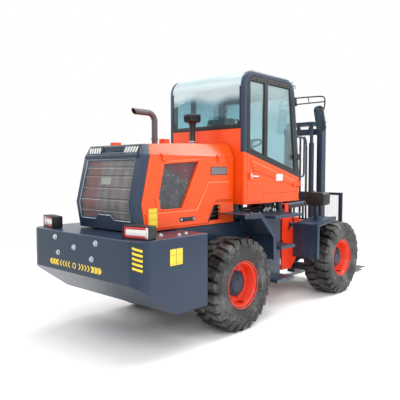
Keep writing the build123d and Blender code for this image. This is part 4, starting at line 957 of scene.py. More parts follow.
class FORKLIFT_OT_grille(bpy.types.Operator):
    """Strings the rear grille with wire and fits its border, work lamps, slats and a blank plate"""
    bl_idname = "forklift.grille"
    bl_label = "Rear Grille"

    LOW, KNEE, TOP = 1.340, 1.500, 1.955
    BANDS = (1.430, 1.550, 1.670, 1.795, 1.890)
    # The mouth's lower edge steps up in the middle: half width of the step's top and foot, and its height
    STEP_TOP, STEP_FOOT, STEP = 0.105, 0.155, 0.050
    RIM = 0.020
    LAMP_Y, LAMP_Z, CELLS = (-0.436, -0.186), (2.026, 2.116), 5
    PLATE_Z, PLATE_LEAN = 1.78, 0.240

    def half(self, z):
        """Half width of the mouth at a height."""
        return 0.416 - 0.015 * (z - self.LOW) / (self.TOP - self.LOW)

    def wires(self, pitch, thick):
        """Woven wires over the mouth, with dark slats across as painted shadow bands and a pale wire of
        painted highlight just below each.
        """
        bm = bmesh.new()
        for z in steps_of(self.LOW, self.TOP, pitch):
            x = rear_face(z) + 0.003
            join(bm, bar((x, -self.half(z), z), (x, self.half(z), z), thick / 2, 5))
        for z in self.BANDS:
            x, wide = rear_face(z), self.half(z)
            # Dark slat in the black wire's paint: a painted shadow band across the grille
            shadow_slat = [(x, -wide, z - 0.004), (x, -wide, z + 0.004), (x + 0.006, -wide, z + 0.006),
                    (x + 0.006, -wide, z - 0.002)]
            join(bm, plate(shadow_slat, (0, 2 * wide, 0), 0.002, 1), 1)
            # Pale wire: a painted highlight just below the shadow band
            join(bm, bar((x + 0.001, -wide, z - 0.014), (x + 0.001, wide, z - 0.014), thick * 0.9, 8), 2)
        for y in steps_of(-0.400, 0.400, pitch):
            rise = (self.STEP_FOOT - abs(y)) / (self.STEP_FOOT - self.STEP_TOP)
            low = self.LOW + self.STEP * min(1, max(0, rise))
            places = [(rear_face(z) + 0.003 + thick, y, z) for z in (low, self.KNEE, self.TOP)]
            join(bm, tube(places, thick / 2, 0, False))
        return bm

    def surround(self):
        """Chamfered border along the mouth, and the bar under the lamps, both in pale slate that is a painted
        highlight.
        """
        bm = bmesh.new()
        wide, low, step = self.RIM, self.LOW, self.LOW + self.STEP
        right = [(0.0, step), (self.STEP_TOP, step), (self.STEP_FOOT, low), (self.half(low), low),
                 (self.half(self.KNEE), self.KNEE), (self.half(self.TOP), self.TOP), (0.0, self.TOP)]
        out = [(0.0, step - wide), (self.STEP_TOP + wide * 0.4, step - wide),
               (self.STEP_FOOT + wide * 0.4, low - wide), (self.half(low) + wide, low - wide),
               (self.half(self.KNEE) + wide, self.KNEE), (self.half(self.TOP) + wide, self.TOP + wide),
               (0.0, self.TOP + wide)]
        for k in range(len(right) - 1):
            inner = [(rear_face(z) + 0.012, -y, z) for y, z in (right[k], right[k + 1])]
            outer = [(rear_face(z) - 0.010, -y, z) for y, z in (out[k + 1], out[k])]
            join_both(bm, plate(inner + outer, (0.010, 0, 0), 0.0025, 2))
        line = [(0.000, 1.978), (-0.020, 1.986), (-0.020, 2.004), (0.000, 2.020)]
        points = [(rear_face(z) + out_by, -0.436, z) for out_by, z in line]
        join(bm, plate(points, (0, 0.872, 0), 0.004, 2))
        return bm

    def lamp(self):
        """Work lamp of slanted cells in a black tray, right-hand side."""
        bm = bmesh.new()
        (y0, y1), (z0, z1) = self.LAMP_Y, self.LAMP_Z
        low, high = rear_face(z0) - 0.006, rear_face(z1) - 0.006
        tray = [(low, y0, z0), (high, y0, z1), (high + 0.040, y0, z1), (low + 0.040, y0, z0)]
        join(bm, plate(tray, (0, y1 - y0, 0), 0.004), 0)
        xa, za, xb, zb = low - 0.0004, z0 + 0.012, high - 0.0076, z1 - 0.014
        for i in range(self.CELLS):
            y = y0 + 0.026 + i * 0.044
            cell = [(xa, y, za), (xa, y + 0.029, za), (xb, y + 0.014, zb), (xb, y - 0.015, zb)]
            join(bm, plate(cell, (0.012, 0, 0), 0.003), 1)
        return bm

    def slats(self):
        """Three slats between the lamps."""
        bm = bmesh.new()
        for z in (2.060, 2.076, 2.092):
            x, y = rear_face(z) + 0.006, -0.178
            line = [(x, y, z), (x + 0.014, y, z + 0.005), (x + 0.014, y, z - 0.002), (x, y, z - 0.005)]
            join(bm, plate(line, (0, -2 * y, 0), 0.0015))
        return bm

    def blank_plate(self):
        """Blank plate on the radiator, behind the wire."""
        bm = bmesh.new()
        x = rear_face(self.PLATE_Z) + 0.0235
        corners = ((0.125, 1.70), (-0.045, 1.70), (-0.045, 1.775), (0.125, 1.775))
        points = [(x + self.PLATE_LEAN * (z - self.PLATE_Z), y, z) for y, z in corners]
        join(bm, plate(points, (-0.003, 0, 0), 0.001))
        return bm

    def execute(self, context):
        sizes = context.scene.forklift_sizes
        piece("grille_wires", self.wires(sizes.wire_pitch, sizes.wire), "rear_frame",
              ["wire", "mesh", "mesh_wire"])
        piece("grille_surround", self.surround(), "rear_frame", ["lip"])
        both_sides("work_lamp_{}", self.lamp, "rear_frame", ["plastic", "cell_lens"],
                   "rear_work_lamps")
        piece("brow_slats", self.slats(), "rear_frame", ["slate"])
        piece("radiator_plate", self.blank_plate(), "rear_frame", ["faded_film"])
        return {"FINISHED"}


class FORKLIFT_OT_lids(bpy.types.Operator):
    """Adds window wire, beads of painted highlight, latch and blank plates to both hood lids, and a black
    wall of painted shade behind their vents
    """
    bl_idname = "forklift.lids"
    bl_label = "Lid Trim"

    WINDOW = [(XR - 0.853, 1.920), (XR - 0.312, 1.955), (XR - 0.590, 1.432), (XR - 0.907, 1.436),
              (XR - 0.942, 1.561)]
    CREASE = [(XR - 0.968, 1.563), (XR - 0.938, 1.403), (XR - 0.347, 1.401), (XR - 0.146, 1.714),
              (XR + 0.236, 1.714)]
    VENT = [(XR - 0.034, 1.440), (XR - 0.062, 1.440), (XR - 0.168, 1.250), (XR - 0.136, 1.250)]
    PITCH, THICK, WIRE_Y = 0.018, 0.0022, -0.4785
    FIELD_Y = -0.512

    def wires(self):
        """Woven wire behind the window's opening."""
        bm = bmesh.new()
        y, back = self.WIRE_Y, self.WIRE_Y + self.THICK
        for z in steps_of(1.440, 1.945, self.PITCH):
            low, high = span(self.WINDOW, z, 1)
            join(bm, bar((low, y, z), (high, y, z), self.THICK / 2, 5))
        for x in steps_of(XR - 0.935, XR - 0.322, self.PITCH):
            low, high = span(self.WINDOW, x, 0)
            join(bm, bar((x, back, low), (x, back, high), self.THICK / 2, 5))
        return bm

    def beads(self):
        """Pressed bead along the crease, from the foot of the window up to the cab, in pale orange that is a
        painted highlight.
        """
        bm = bmesh.new()
        join(bm, tube([(x, -0.5055, z) for x, z in self.CREASE], 0.0055, 2, False))
        return bm

    def latch(self):
        """Paddle latch in its tray, with two studs."""
        bm = bmesh.new()
        x0, x1, z, y = -2.021, -1.782, 1.307, self.FIELD_Y
        join(bm, slab((x0, y - 0.005, z - 0.024), (x1, y + 0.002, z + 0.024), 0.003), 0)
        join(bm, slab((x0 + 0.046, y - 0.012, z - 0.014), (x1 - 0.046, y - 0.003, z + 0.014), 0.004, 3), 0)
        for x in (x0 + 0.023, x1 - 0.023):
            join(bm, bar((x, y - 0.003, z), (x, y - 0.011, z), 0.013, 20, 0.003), 1)
        return bm

    def plates(self):
        """Blank yellow and grey plates, and a black strip along the vent, painted shade that widens its dark
        opening.
        """
        bm = bmesh.new()
        y = self.FIELD_Y - 0.0015
        join(bm, slab((-2.473, y, 1.245), (-2.355, -0.499, 1.452), 0.0012, 1), 0)
        for z in (1.335, 1.405):
            join(bm, slab((-2.464, y - 0.0004, z), (-2.364, y + 0.0004, z + 0.003)), 1)
        join(bm, slab((-1.492, -0.5045, 1.797), (-1.194, -0.499, 1.896), 0.002, 2), 1)
        join(bm, slab((-1.484, -0.5052, 1.805), (-1.202, -0.5040, 1.888), 0.0005, 1), 2)
        # Black strip on the lid beside the vent: painted shade that widens the vent's dark opening
        join(bm, plate([(x, -0.504, z) for x, z in self.VENT], (0, -0.0092, 0), 0.001, 1), 3)
        return bm

    def shroud(self):
        """Black wall and three hoses behind the vents; the wall is a dark sheet of painted shade for the
        engine bay.
        """
        bm = bmesh.new()
        # Dark sheet that stands in for the shade of the engine bay
        join_both(bm, slab((XR - 0.190, -0.420, 1.235), (XR + 0.130, -0.408, 1.475), 0.003), 0)
        for k, z in enumerate((1.29, 1.335, 1.385)):
            join_both(bm, tube([(XR - 0.14, -0.44, z), (XR - 0.06, -0.455 - 0.01 * k, z + 0.02),
                                (XR + 0.03, -0.452, z + 0.01), (XR + 0.10, -0.44, z + 0.04)], 0.014), 0)
        return bm

    def execute(self, context):
        both_sides("lid_window_wires_{}", self.wires, "{}_lid", ["mesh"])
        both_sides("lid_beads_{}", self.beads, "{}_lid", ["crease"])
        both_sides("lid_latch_{}", self.latch, "{}_lid", ["plastic", "zinc"])
        both_sides("lid_plates_{}", self.plates, "{}_lid",
                   ["yellow", "dark_film", "grey_film", "seal"])
        piece("engine_bay_shade_wall", self.shroud(), "rear_frame", ["plastic"])
        return {"FINISHED"}


class FORKLIFT_OT_cab(bpy.types.Operator):
    """Fits seals, headliner, door furniture and fasteners to the cab"""
    bl_idname = "forklift.cab"
    bl_label = "Cab Trim"

    GLASS_X = XR + 0.350

    def pane_seals(self, name, side):
        """Rubber rings along the edges of a door's panes, drawn from the panes themselves."""
        part = bmesh.new()
        part.from_mesh(frame["nodes"][name].data)
        bmesh.ops.remove_doubles(part, verts=part.verts, dist=MERGE)
        away = [f for f in part.faces if f.normal.y * side < 0.9]
        bmesh.ops.delete(part, geom=away, context="FACES")
        bmesh.ops.dissolve_limit(part, angle_limit=radians(1), verts=part.verts, edges=part.edges)
        inset = bmesh.ops.inset_individual(part, faces=part.faces[:], thickness=0.012, use_even_offset=True)
        ring = set(inset["faces"])
        bmesh.ops.delete(part, geom=[f for f in part.faces if f not in ring], context="FACES")
        draw_out(part, part.faces[:], (0, side * 0.006, 0))
        return round_edges(part, 0.002)

    def door(self):
        """Pressed swage with its bead, lever, blank plate, bolts and lock box of the right door."""
        bm = bmesh.new()
        y = -CAB_Y
        swage = [(-0.925, y + 0.001, 1.985), (0.165, y + 0.001, 1.700), (0.195, y + 0.001, 1.625),
                 (-0.845, y + 0.001, 1.850)]
        join(bm, plate(swage, (0, -0.011, 0), 0.008, 3), 0)
        # Bead along the swage's top in pale orange: a painted highlight
        join(bm, tube([(-0.880, y - 0.008, 1.968), (0.150, y - 0.008, 1.699)], 0.005, 2, False), 4)
        join(bm, slab((-0.355, y - 0.0125, 1.715), (-0.205, y + 0.001, 1.802), 0.002), 1)
        join(bm, bar((-0.920, y - 0.021, 1.780), (-0.920, y - 0.034, 1.780), 0.024, 24, 0.004), 2)
        join(bm, tube([(-0.920, y - 0.030, 1.780), (-0.920, y - 0.052, 1.780), (-0.895, y - 0.056, 1.779),
                       (-0.810, y - 0.050, 1.774)], 0.008), 2)
        join(bm, slab((-0.928, y - 0.028, 1.742), (-0.912, y - 0.021, 1.818), 0.003), 2)
        for x in (-0.790, -0.560, -0.285, -0.080):
            join(bm, bar((x, y + 0.002, 2.992), (x, y - 0.006, 2.992), 0.011, 14, 0.003), 3)
        join(bm, slab((0.015, -0.630, 1.990), (0.098, -0.588, 2.190), 0.012, 3), 3)
        join(bm, tube([(0.05, -0.590, 2.16), (0.05, -0.560, 2.14), (0.05, -0.558, 2.07),
                       (0.05, -0.590, 2.04)], 0.009), 3)
        return bm

    def glass_seal(self):
        """Seal round the rear glass with its corner pieces and studs."""
        bm = bmesh.new()
        x = self.GLASS_X
        join(bm, slab((x - 0.005, -0.590, 2.370), (x + 0.012, 0.590, 2.424), 0.004), 0)
        for y0, y1 in ((-0.590, -0.572), (0.572, 0.590)):
            join(bm, slab((x - 0.004, y0, 2.420), (x + 0.010, y1, 2.885), 0.003), 0)
        corner = [(x - 0.004, -0.575, 2.420), (x - 0.004, -0.520, 2.420), (x - 0.004, -0.575, 2.480)]
        join_both(bm, plate(corner, (0.013, 0, 0), 0.002), 0)
        for y in (-0.540, 0.540):
            join(bm, bar((XR + 0.590, y, 3.086), (XR + 0.590, y, 3.098), 0.014, 16, 0.003), 0)
            join(bm, bar((x + 0.002, y, 2.470), (x - 0.008, y, 2.470), 0.014, 16, 0.003), 0)
        return bm

    def headliner(self):
        """Padded roof lining between two black edges."""
        bm = bmesh.new()
        join(bm, slab((XR + 0.628, -0.575, 3.026), (XR + 1.245, 0.575, 3.0495), 0.010, 3), 0)
        for y0, y1 in ((-0.583, -0.560), (0.560, 0.583)):
            join(bm, slab((XR + 0.625, y0, 3.020), (XR + 1.250, y1, 3.0495), 0.006, 2), 1)
        return bm

    def execute(self, context):
        for name, side in (("right", -1), ("left", 1)):
            seal = self.pane_seals(f"door_glass_{name}", side)
            piece(f"pane_seals_{name}", seal, f"{name}_door", ["seal"])
        both_sides("door_furniture_{}", self.door, "{}_door",
                   ["orange", "pale_film", "chrome", "plastic", "crease"])
        piece("rear_glass_seal", self.glass_seal(), "rear_frame", ["seal"])
        piece("headliner", self.headliner(), "rear_frame", ["lining", "plastic"])
        return {"FINISHED"}


class FORKLIFT_OT_seat(bpy.types.Operator):
    """Makes the driver's seat: base cushion and back, each with two sewn channels, on their frame"""
    bl_idname = "forklift.seat"
    bl_label = "Driver's Seat"

    # Low and high corner, crown and the axis that it swells along
    CUSHIONS = {
        "seat_cushion": ((XR + 0.715, -0.235, 1.868), (XR + 1.165, 0.235, 1.960), 0.10, 2),
        "seat_back": ((XR + 0.632, -0.225, 1.935), (XR + 0.742, 0.225, 2.545), 0.14, 0),
    }
    WAIST = 0.03

    def cushion(self, low, high, crown, axis):
        """Crowned cushion in a box, whose sides pull in between its corners, with two sewn channels."""
        part = bmesh.new()
        bmesh.ops.create_cube(part, size=2.0)
        bmesh.ops.subdivide_edges(part, edges=part.edges, cuts=7, use_grid_fill=True)
        low, high = Vector(low), Vector(high)
        middle, half = (low + high) / 2, (high - low) / 2
        for v in part.verts:
            x, y, z = v.co
            u, w = (x, y) if axis == 2 else (z, y)
            pull = 1 - self.WAIST * (1 - y * y)
            place = [x * pull, y * (1 - self.WAIST * (1 - u * u)), z * pull]
            place[axis] = v.co[axis] * (1 - 0.35 * max(abs(u), abs(w)) ** 6)
            if v.co[axis] > 0:
                dip = 0.10 * max(0, 1 - abs(abs(w) - 0.5) / 0.13)
                place[axis] += crown * (1 - u * u) * (1 - w * w) - dip * v.co[axis]
            v.co = Vector(place) * half + middle
        bmesh.ops.recalc_face_normals(part, faces=part.faces)
        return part

    def shell(self):
        """Pan, back shell and two bent brackets under the padding."""
        bm = bmesh.new()
        join(bm, slab((XR + 0.715, -0.205, 1.850), (XR + 1.150, 0.205, 1.872), 0.008), 0)
        join(bm, slab((XR + 0.622, -0.200, 1.900), (XR + 0.640, 0.200, 2.500), 0.008), 0)
        for y in (-0.15, 0.15):
            join(bm, tube([(XR + 0.630, y, 2.00), (XR + 0.640, y, 1.90), (XR + 0.700, y, 1.862),
                           (XR + 0.780, y, 1.862)], 0.016), 0)
        return bm

    def execute(self, context):
        for name, row in self.CUSHIONS.items():
            made = piece(name, self.cushion(*row), "rear_frame", ["vinyl"], 80)
            smooth = made.modifiers.new("rounding", "SUBSURF")
            smooth.levels = smooth.render_levels = 1
            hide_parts("seat")
        piece("seat_frame", self.shell(), "rear_frame", ["plastic"])
        return {"FINISHED"}


class FORKLIFT_OT_intake(bpy.types.Operator):
    """Makes the air pre-cleaner with its vaned bowl and clamp, and the exhaust's collar"""
    bl_idname = "forklift.intake"
    bl_label = "Air Pre-cleaner"

    PLACE = (XR + 0.113, 0, 0)
    COLLAR_PLACE = (XR - 0.640, -0.120, 0.03)
    VANES = 20
    STEM = [(1.750, 0.0), (1.750, 0.0375), (2.180, 0.0375), (2.186, 0.041), (2.200, 0.041), (2.206, 0.0375),
            (2.430, 0.0375), (2.450, 0.050), (2.462, 0.096), (2.466, 0.103), (2.474, 0.106), (2.474, 0.0)]
    BOWL = [(2.472, 0.0), (2.472, 0.092), (2.530, 0.096), (2.530, 0.0)]
    CAP = [(2.528, 0.0), (2.528, 0.109), (2.534, 0.110), (2.548, 0.108), (2.560, 0.094), (2.567, 0.060),
           (2.570, 0.024), (2.572, 0.020), (2.572, 0.0)]
    BAND = [(2.206, 0.037), (2.206, 0.042), (2.222, 0.042), (2.222, 0.037)]
    COLLAR = [(2.170, 0.033), (2.170, 0.040), (2.186, 0.040), (2.186, 0.033)]

    def execute(self, context):
        bm = bmesh.new()
        place = Matrix.Translation(self.PLACE)
        for profile in (self.STEM, self.BOWL, self.CAP):
            join(bm, turned(profile, 40, (0, 0, 1)), 0, place)
        for i in range(self.VANES):
            vane = slab((0.090, -0.003, 2.472), (0.108, 0.003, 2.530), 0.0015, 1)
            join(bm, vane, 0, place @ Matrix.Rotation(2 * pi * i / self.VANES, 4, "Z"))
        join(bm, turned(self.BAND, 40, (0, 0, 1)), 1, place)
        join(bm, bar((-0.02, -0.048, 2.214), (0.02, -0.048, 2.214), 0.005, 10, 0.001), 1, place)
        made = piece("pre_cleaner", bm, "rear_frame", ["plastic", "zinc"])
        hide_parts("air_precleaner")
        bm = bmesh.new()
        join(bm, turned(self.COLLAR, 32, (0, 0, 1)), 0, Matrix.Translation(self.COLLAR_PLACE))
        piece("exhaust_collar", bm, "rear_frame", ["pipe"])
        return {"FINISHED"}


class FORKLIFT_OT_mirrors(bpy.types.Operator):
    """Makes the mirrors on their bent arms and the grab handles by the doors"""
    bl_idname = "forklift.mirrors"
    bl_label = "Mirrors and Handles"

    FOOT = [(2.745, 0.001), (2.865, 0.001), (2.865, 0.046), (2.745, 0.046)]
    UPPER = [(0.130, -0.628, 2.850), (0.190, -0.690, 2.862), (0.270, -0.870, 2.866), (0.298, -0.960, 2.866),
             (0.304, -0.998, 2.840), (0.304, -0.996, 2.740), (0.300, -0.962, 2.620), (0.300, -0.950, 2.500)]
    LOWER = [(0.135, -0.628, 2.765), (0.220, -0.800, 2.778), (0.303, -0.992, 2.790)]
    HANDLE_Y = -0.625
    HANDLE = [(0.170, 2.325), (0.300, 2.330), (0.408, 2.315), (0.402, 2.200), (0.402, 1.900), (0.404, 1.775),
              (0.330, 1.762), (0.242, 1.775)]

    def rounded(self, low, high, corner):
        """Upright board with round corners in its face."""
        part = slab(low, high)
        thick = high[0] - low[0]
        bevel(part, [e for e in part.edges if abs((e.verts[0].co - e.verts[1].co).x) > thick / 2], corner, 5)
        return part

    def mirror(self):
        """Mirror head with its glass, two arms, foot and clamp, right-hand side."""
        bm = bmesh.new()
        foot = [(front_line(z) + out, -0.648, z) for z, out in self.FOOT]
        join(bm, plate(foot, (0, 0.044, 0), 0.006), 0)
        join(bm, tube(self.UPPER, 0.0095), 0)
        join(bm, tube(self.LOWER, 0.0085), 0)
        join(bm, bar((0.228, -0.780, 2.864), (0.226, -0.800, 2.778), 0.006, 10), 0)
        head = Matrix.Translation((0.278, -0.940, 2.558)) @ Matrix.Rotation(radians(-10), 4, "X")
        shell = self.rounded((-0.020, -0.070, -0.180), (0.022, 0.070, 0.180), 0.052)
        join(bm, round_edges(shell, 0.012, 3, radians(60)), 0, head)
        join(bm, self.rounded((-0.0225, -0.056, -0.160), (-0.016, 0.056, 0.160), 0.045), 1, head)
        join(bm, bar((0.300, -0.975, 2.520), (0.300, -1.030, 2.514), 0.014, 16, 0.003), 2)
        return bm

    def handle(self):
        """Bent grab handle with its two feet, right-hand side."""
        bm = bmesh.new()
        y = self.HANDLE_Y
        join(bm, tube([(x, y, z) for x, z in self.HANDLE], 0.0135, 5), 0)
        for z, x in ((2.325, front_line(2.325)), (1.775, XR + 1.636)):
            join(bm, bar((x - 0.002, y, z), (x + 0.012, y, z), 0.026, 20, 0.003), 0)
        return bm

    def execute(self, context):
        both_sides("mirror_{}", self.mirror, "rear_frame", ["plastic", "mirror", "zinc"],
                   "mirrors")
        both_sides("grab_handle_{}", self.handle, "rear_frame", ["slate"], "grab_bars")
        return {"FINISHED"}


class FORKLIFT_OT_lamps(bpy.types.Operator):
    """Makes the front lamps on the fenders and on the roof"""
    bl_idname = "forklift.lamps"
    bl_label = "Front Lamps"

    CASE_X = 0.552
    CASE = [(-0.868, 1.372), (-0.842, 1.347), (-0.598, 1.347), (-0.572, 1.372), (-0.572, 1.505),
            (-0.600, 1.533), (-0.840, 1.533), (-0.868, 1.505)]
    RIM = [(0.742, 0.046), (0.742, 0.062), (0.758, 0.064), (0.766, 0.060), (0.766, 0.052), (0.756, 0.046)]
    DOME = [(0.744, 0.0), (0.744, 0.052), (0.756, 0.052), (0.762, 0.036), (0.765, 0.0)]
    CABLE = [(0.600, -0.700, 1.528), (0.590, -0.690, 1.560), (0.560, -0.640, 1.545), (0.545, -0.600, 1.480),
             (0.560, -0.560, 1.400), (0.575, -0.540, 1.350)]

    def head_lamp(self):
        """Twin lamp in a ribbed case, with its cable, right-hand side."""
        bm = bmesh.new()
        join(bm, plate([(self.CASE_X, y, z) for y, z in self.CASE], (0.192, 0, 0), 0.008, 2), 0)
        for y in steps_of(-0.850, -0.590, 0.030):
            join(bm, slab((0.5505, y - 0.004, 1.375), (0.560, y + 0.004, 1.505), 0.002, 1), 0)
        for y in (-0.790, -0.650):
            at = Matrix.Translation((0, y, 1.440))
            join(bm, turned(self.RIM, 32, (1, 0, 0)), 1, at)
            join(bm, turned(self.DOME, 32, (1, 0, 0)), 2, at)
        join(bm, tube(self.CABLE, 0.007), 0)
        return bm

    def roof_lamp(self):
        """Finned work lamp on its bracket, right-hand side."""
        bm = bmesh.new()
        join(bm, slab((0.118, -0.612, 2.988), (0.188, -0.488, 3.082), 0.010, 3), 0)
        for z in steps_of(2.998, 3.074, 0.012):
            join(bm, slab((0.104, -0.600, z - 0.002), (0.122, -0.500, z + 0.002), 0.001, 1), 0)
        join(bm, slab((0.180, -0.602, 2.998), (0.198, -0.498, 3.072), 0.006, 3), 1)
        for y in (-0.6195, -0.4885):
            join(bm, slab((0.046, y, 3.028), (0.160, y + 0.008, 3.048), 0.003), 0)
        join(bm, slab((0.034, -0.608, 3.026), (0.060, -0.492, 3.050), 0.004), 0)
        return bm

    def execute(self, context):
        both_sides("head_lamp_{}", self.head_lamp, "front_frame", ["plastic", "chrome", "clear_lens"],
                   "head_lamps")
        both_sides("roof_lamp_{}", self.roof_lamp, "rear_frame", ["pale_metal", "clear_lens"],
                   "roof_lamps")
        return {"FINISHED"}


class FORKLIFT_OT_mast(bpy.types.Operator):
    """Dresses the mast with guarded hoses and the load guard with wire"""
    bl_idname = "forklift.mast"
    bl_label = "Mast Hoses and Load Guard"

    HOSE_X, HOSE_Y = 1.262, 0.155
    # Forward step, share of the hose's own y, and height; the foot stays clear of the tilting frame
    HOSE = [(0.056, 0.8, 0.46), (0.056, 0.8, 0.90), (0.050, 0.85, 1.08), (0, 1, 1.20), (0, 1, 1.34),
            (0, 1, 1.60), (0, 1, 2.28), (0.004, 0.9, 2.36), (0.010, 0.7, 2.40)]
    GUARD_X, GUARD_Y, GUARD_Z = (1.622, 1.6255), 0.590, (0.800, 1.455)
    WIRE, PITCH = 0.0016, 0.030

    def hoses(self):
        """Hydraulic hoses in ribbed guards along the back of the mast."""
        bm = bmesh.new()
        x = self.HOSE_X
        for y in (-self.HOSE_Y, self.HOSE_Y):
            join(bm, tube([(x + step, y * share, z) for step, share, z in self.HOSE], 0.014), 0)
            for z in steps_of(1.30, 2.25, 0.034):
                ring = [(z - 0.010, 0.012), (z - 0.006, 0.021), (z + 0.006, 0.021), (z + 0.010, 0.012)]
                join(bm, turned(ring, 14, (0, 0, 1)), 0, Matrix.Translation((x, y, 0)))
        return bm

    def guard(self):
        """Square wire mesh behind the load guard's bars."""
        bm = bmesh.new()
        (x0, x1), wide, (low, high) = self.GUARD_X, self.GUARD_Y, self.GUARD_Z
        for z in steps_of(low, high, self.PITCH):
            join(bm, bar((x0, -wide, z), (x0, wide, z), self.WIRE, 5))
        for y in steps_of(-wide, wide, self.PITCH):
            join(bm, bar((x1, y, low), (x1, y, high), self.WIRE, 5))
        return bm

    def execute(self, context):
        piece("mast_hoses", self.hoses(), "outer_mast", ["seal"])
        piece("load_guard_wire", self.guard(), "fork_carriage", ["zinc"])
        return {"FINISHED"}


class FORKLIFT_OT_steps(bpy.types.Operator):
    """Adds anti-slip studs to steps and platform, and hoses with fittings under the cab"""
    bl_idname = "forklift.steps"
    bl_label = "Treads and Plumbing"

    TREADS = [(XR + 0.80, XR + 1.09, -0.895, -0.72, 0.890), (XR + 0.72, XR + 1.07, -0.895, -0.72, 0.472),
              (XR + 0.67, XR + 1.27, -0.895, -0.545, 1.286)]
    RUNS = [
        [(-0.930, -0.455, 1.320), (-0.800, -0.470, 1.330), (-0.600, -0.465, 1.315), (-0.430, -0.450, 1.330),
         (-0.270, -0.400, 1.345)],
        [(-0.930, -0.430, 1.355), (-0.760, -0.455, 1.370), (-0.560, -0.440, 1.345), (-0.420, -0.420, 1.365),
         (-0.270, -0.360, 1.345)],
        [(-0.880, -0.400, 1.300), (-0.700, -0.420, 1.305), (-0.520, -0.410, 1.300), (-0.400, -0.390, 1.320),
         (-0.270, -0.310, 1.345)],
        [(-0.140, -0.400, 1.390), (-0.135, -0.430, 1.402), (-0.125, -0.455, 1.360), (-0.125, -0.455, 1.290)],
        [(-0.100, -0.380, 1.385), (-0.080, -0.420, 1.400), (-0.070, -0.450, 1.350), (-0.075, -0.450, 1.288)],
    ]
    THICK_RUNS, THICK, THIN = 3, 0.015, 0.012
    ELBOWS = 6

    def studs(self):
        """Staggered rows of studs on the right-hand treads."""
        bm = bmesh.new()
        for x0, x1, y0, y1, top in self.TREADS:
            for row, y in enumerate(steps_of(y0, y1, 0.045)):
                for x in steps_of(x0 + 0.02 * (row % 2), x1, 0.050):
                    join(bm, bar((x, y, top - 0.002), (x, y, top + 0.004), 0.010, 8), 0)
        return bm

    def valves(self):
        """Control valve bank: sections between end plates, with spool caps and fittings."""
        bm = bmesh.new()
        x0, x1, z0, z1 = -0.270, -0.060, 1.280, 1.415
        levels = steps_of(-0.420, -0.150, 0.045)
        for y in levels:
            inset = 0.0 if y in (levels[0], levels[-1]) else 0.012
            join(bm, slab((x0 + 0.02 + inset, y - 0.0205, z0),
                          (x1 - 0.02 - inset, y + 0.0205, z1 - 0.03 - inset), 0.004), 0)
            join(bm, bar((x0 + 0.002, y, z0 + 0.05), (x0 + 0.04, y, z0 + 0.05), 0.015, 16, 0.003), 0)
            for x in (x0 + 0.085, x0 + 0.140):
                join(bm, hex_bolt(0.013, 0.018), 1, facing((x, y, z1 - 0.045), (0, 0, 1)))
        return bm

    def clamp(self):
        """Hose clamp on the front frame's right cheek."""
        bm = bmesh.new()
        join(bm, slab((0.215, -0.512, 1.030), (0.300, -0.498, 1.110), 0.003), 2)
        join(bm, slab((0.225, -0.545, 1.052), (0.285, -0.508, 1.092), 0.008), 2)
        for z in (1.042, 1.100):
            join(bm, hex_bolt(0.009, 0.008), 1, facing((0.258, -0.512, z), (0, -1, 0)))
        join(bm, tube([(0.190, -0.506, 1.000), (0.215, -0.528, 1.050), (0.260, -0.530, 1.078),
                       (0.310, -0.528, 1.110), (0.318, -0.506, 1.180)], 0.011), 0)
        return bm

    def hoses(self):
        """Hoses with their end fittings and clips between frame, tank and valve bank."""
        bm = bmesh.new()
        runs = list(self.RUNS)
        for k in range(self.ELBOWS):
            x, z = -0.430 + 0.028 * k, 1.316 + 0.016 * (k % 3)
            runs.append([(x, -0.405, z), (x + 0.01, -0.450, z + 0.012), (x + 0.03, -0.480, z + 0.01),
                         (x + 0.05, -0.485, z - 0.02)])
        for k, run in enumerate(runs):
            join(bm, tube(run, self.THICK if k < self.THICK_RUNS else self.THIN), 0)
            for end, near in ((run[0], run[1]), (run[-1], run[-2])):
                way = (Vector(near) - Vector(end)).normalized()
                join(bm, bar(Vector(end) - way * 0.004, Vector(end) + way * 0.035, 0.019, 6, 0.002), 1)
        for x in (-0.86, -0.66, -0.48):
            join(bm, slab((x - 0.012, -0.490, 1.284), (x + 0.012, -0.385, 1.296), 0.002), 1)
            join(bm, hex_bolt(0.011, 0.010), 1, facing((x, -0.484, 1.296), (0, 0, 1)))
        return bm

    def execute(self, context):
        bm = bmesh.new()
        join_both(bm, self.studs())
        piece("tread_studs", bm, "rear_frame", ["tread"])
        made = piece("control_valves", self.valves(), "rear_frame", ["slate", "zinc"])
        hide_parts("valve_bank")
        piece("cab_hoses", self.hoses(), "rear_frame", ["seal", "zinc"])
        piece("frame_clamp", self.clamp(), "front_frame", ["seal", "zinc", "plastic"])
        return {"FINISHED"}


def seen_ray(tree):
    """One where the background is seen, straight or through gloss and glass, else zero."""
    ray = add(tree, "LightPath")
    seen = ray.outputs["Is Camera Ray"]
    for kind in ("Is Glossy Ray", "Is Transmission Ray"):
        seen = add(tree, "Math", {0: seen, 1: ray.outputs[kind]}, operation="MAXIMUM").outputs[0]
    return seen


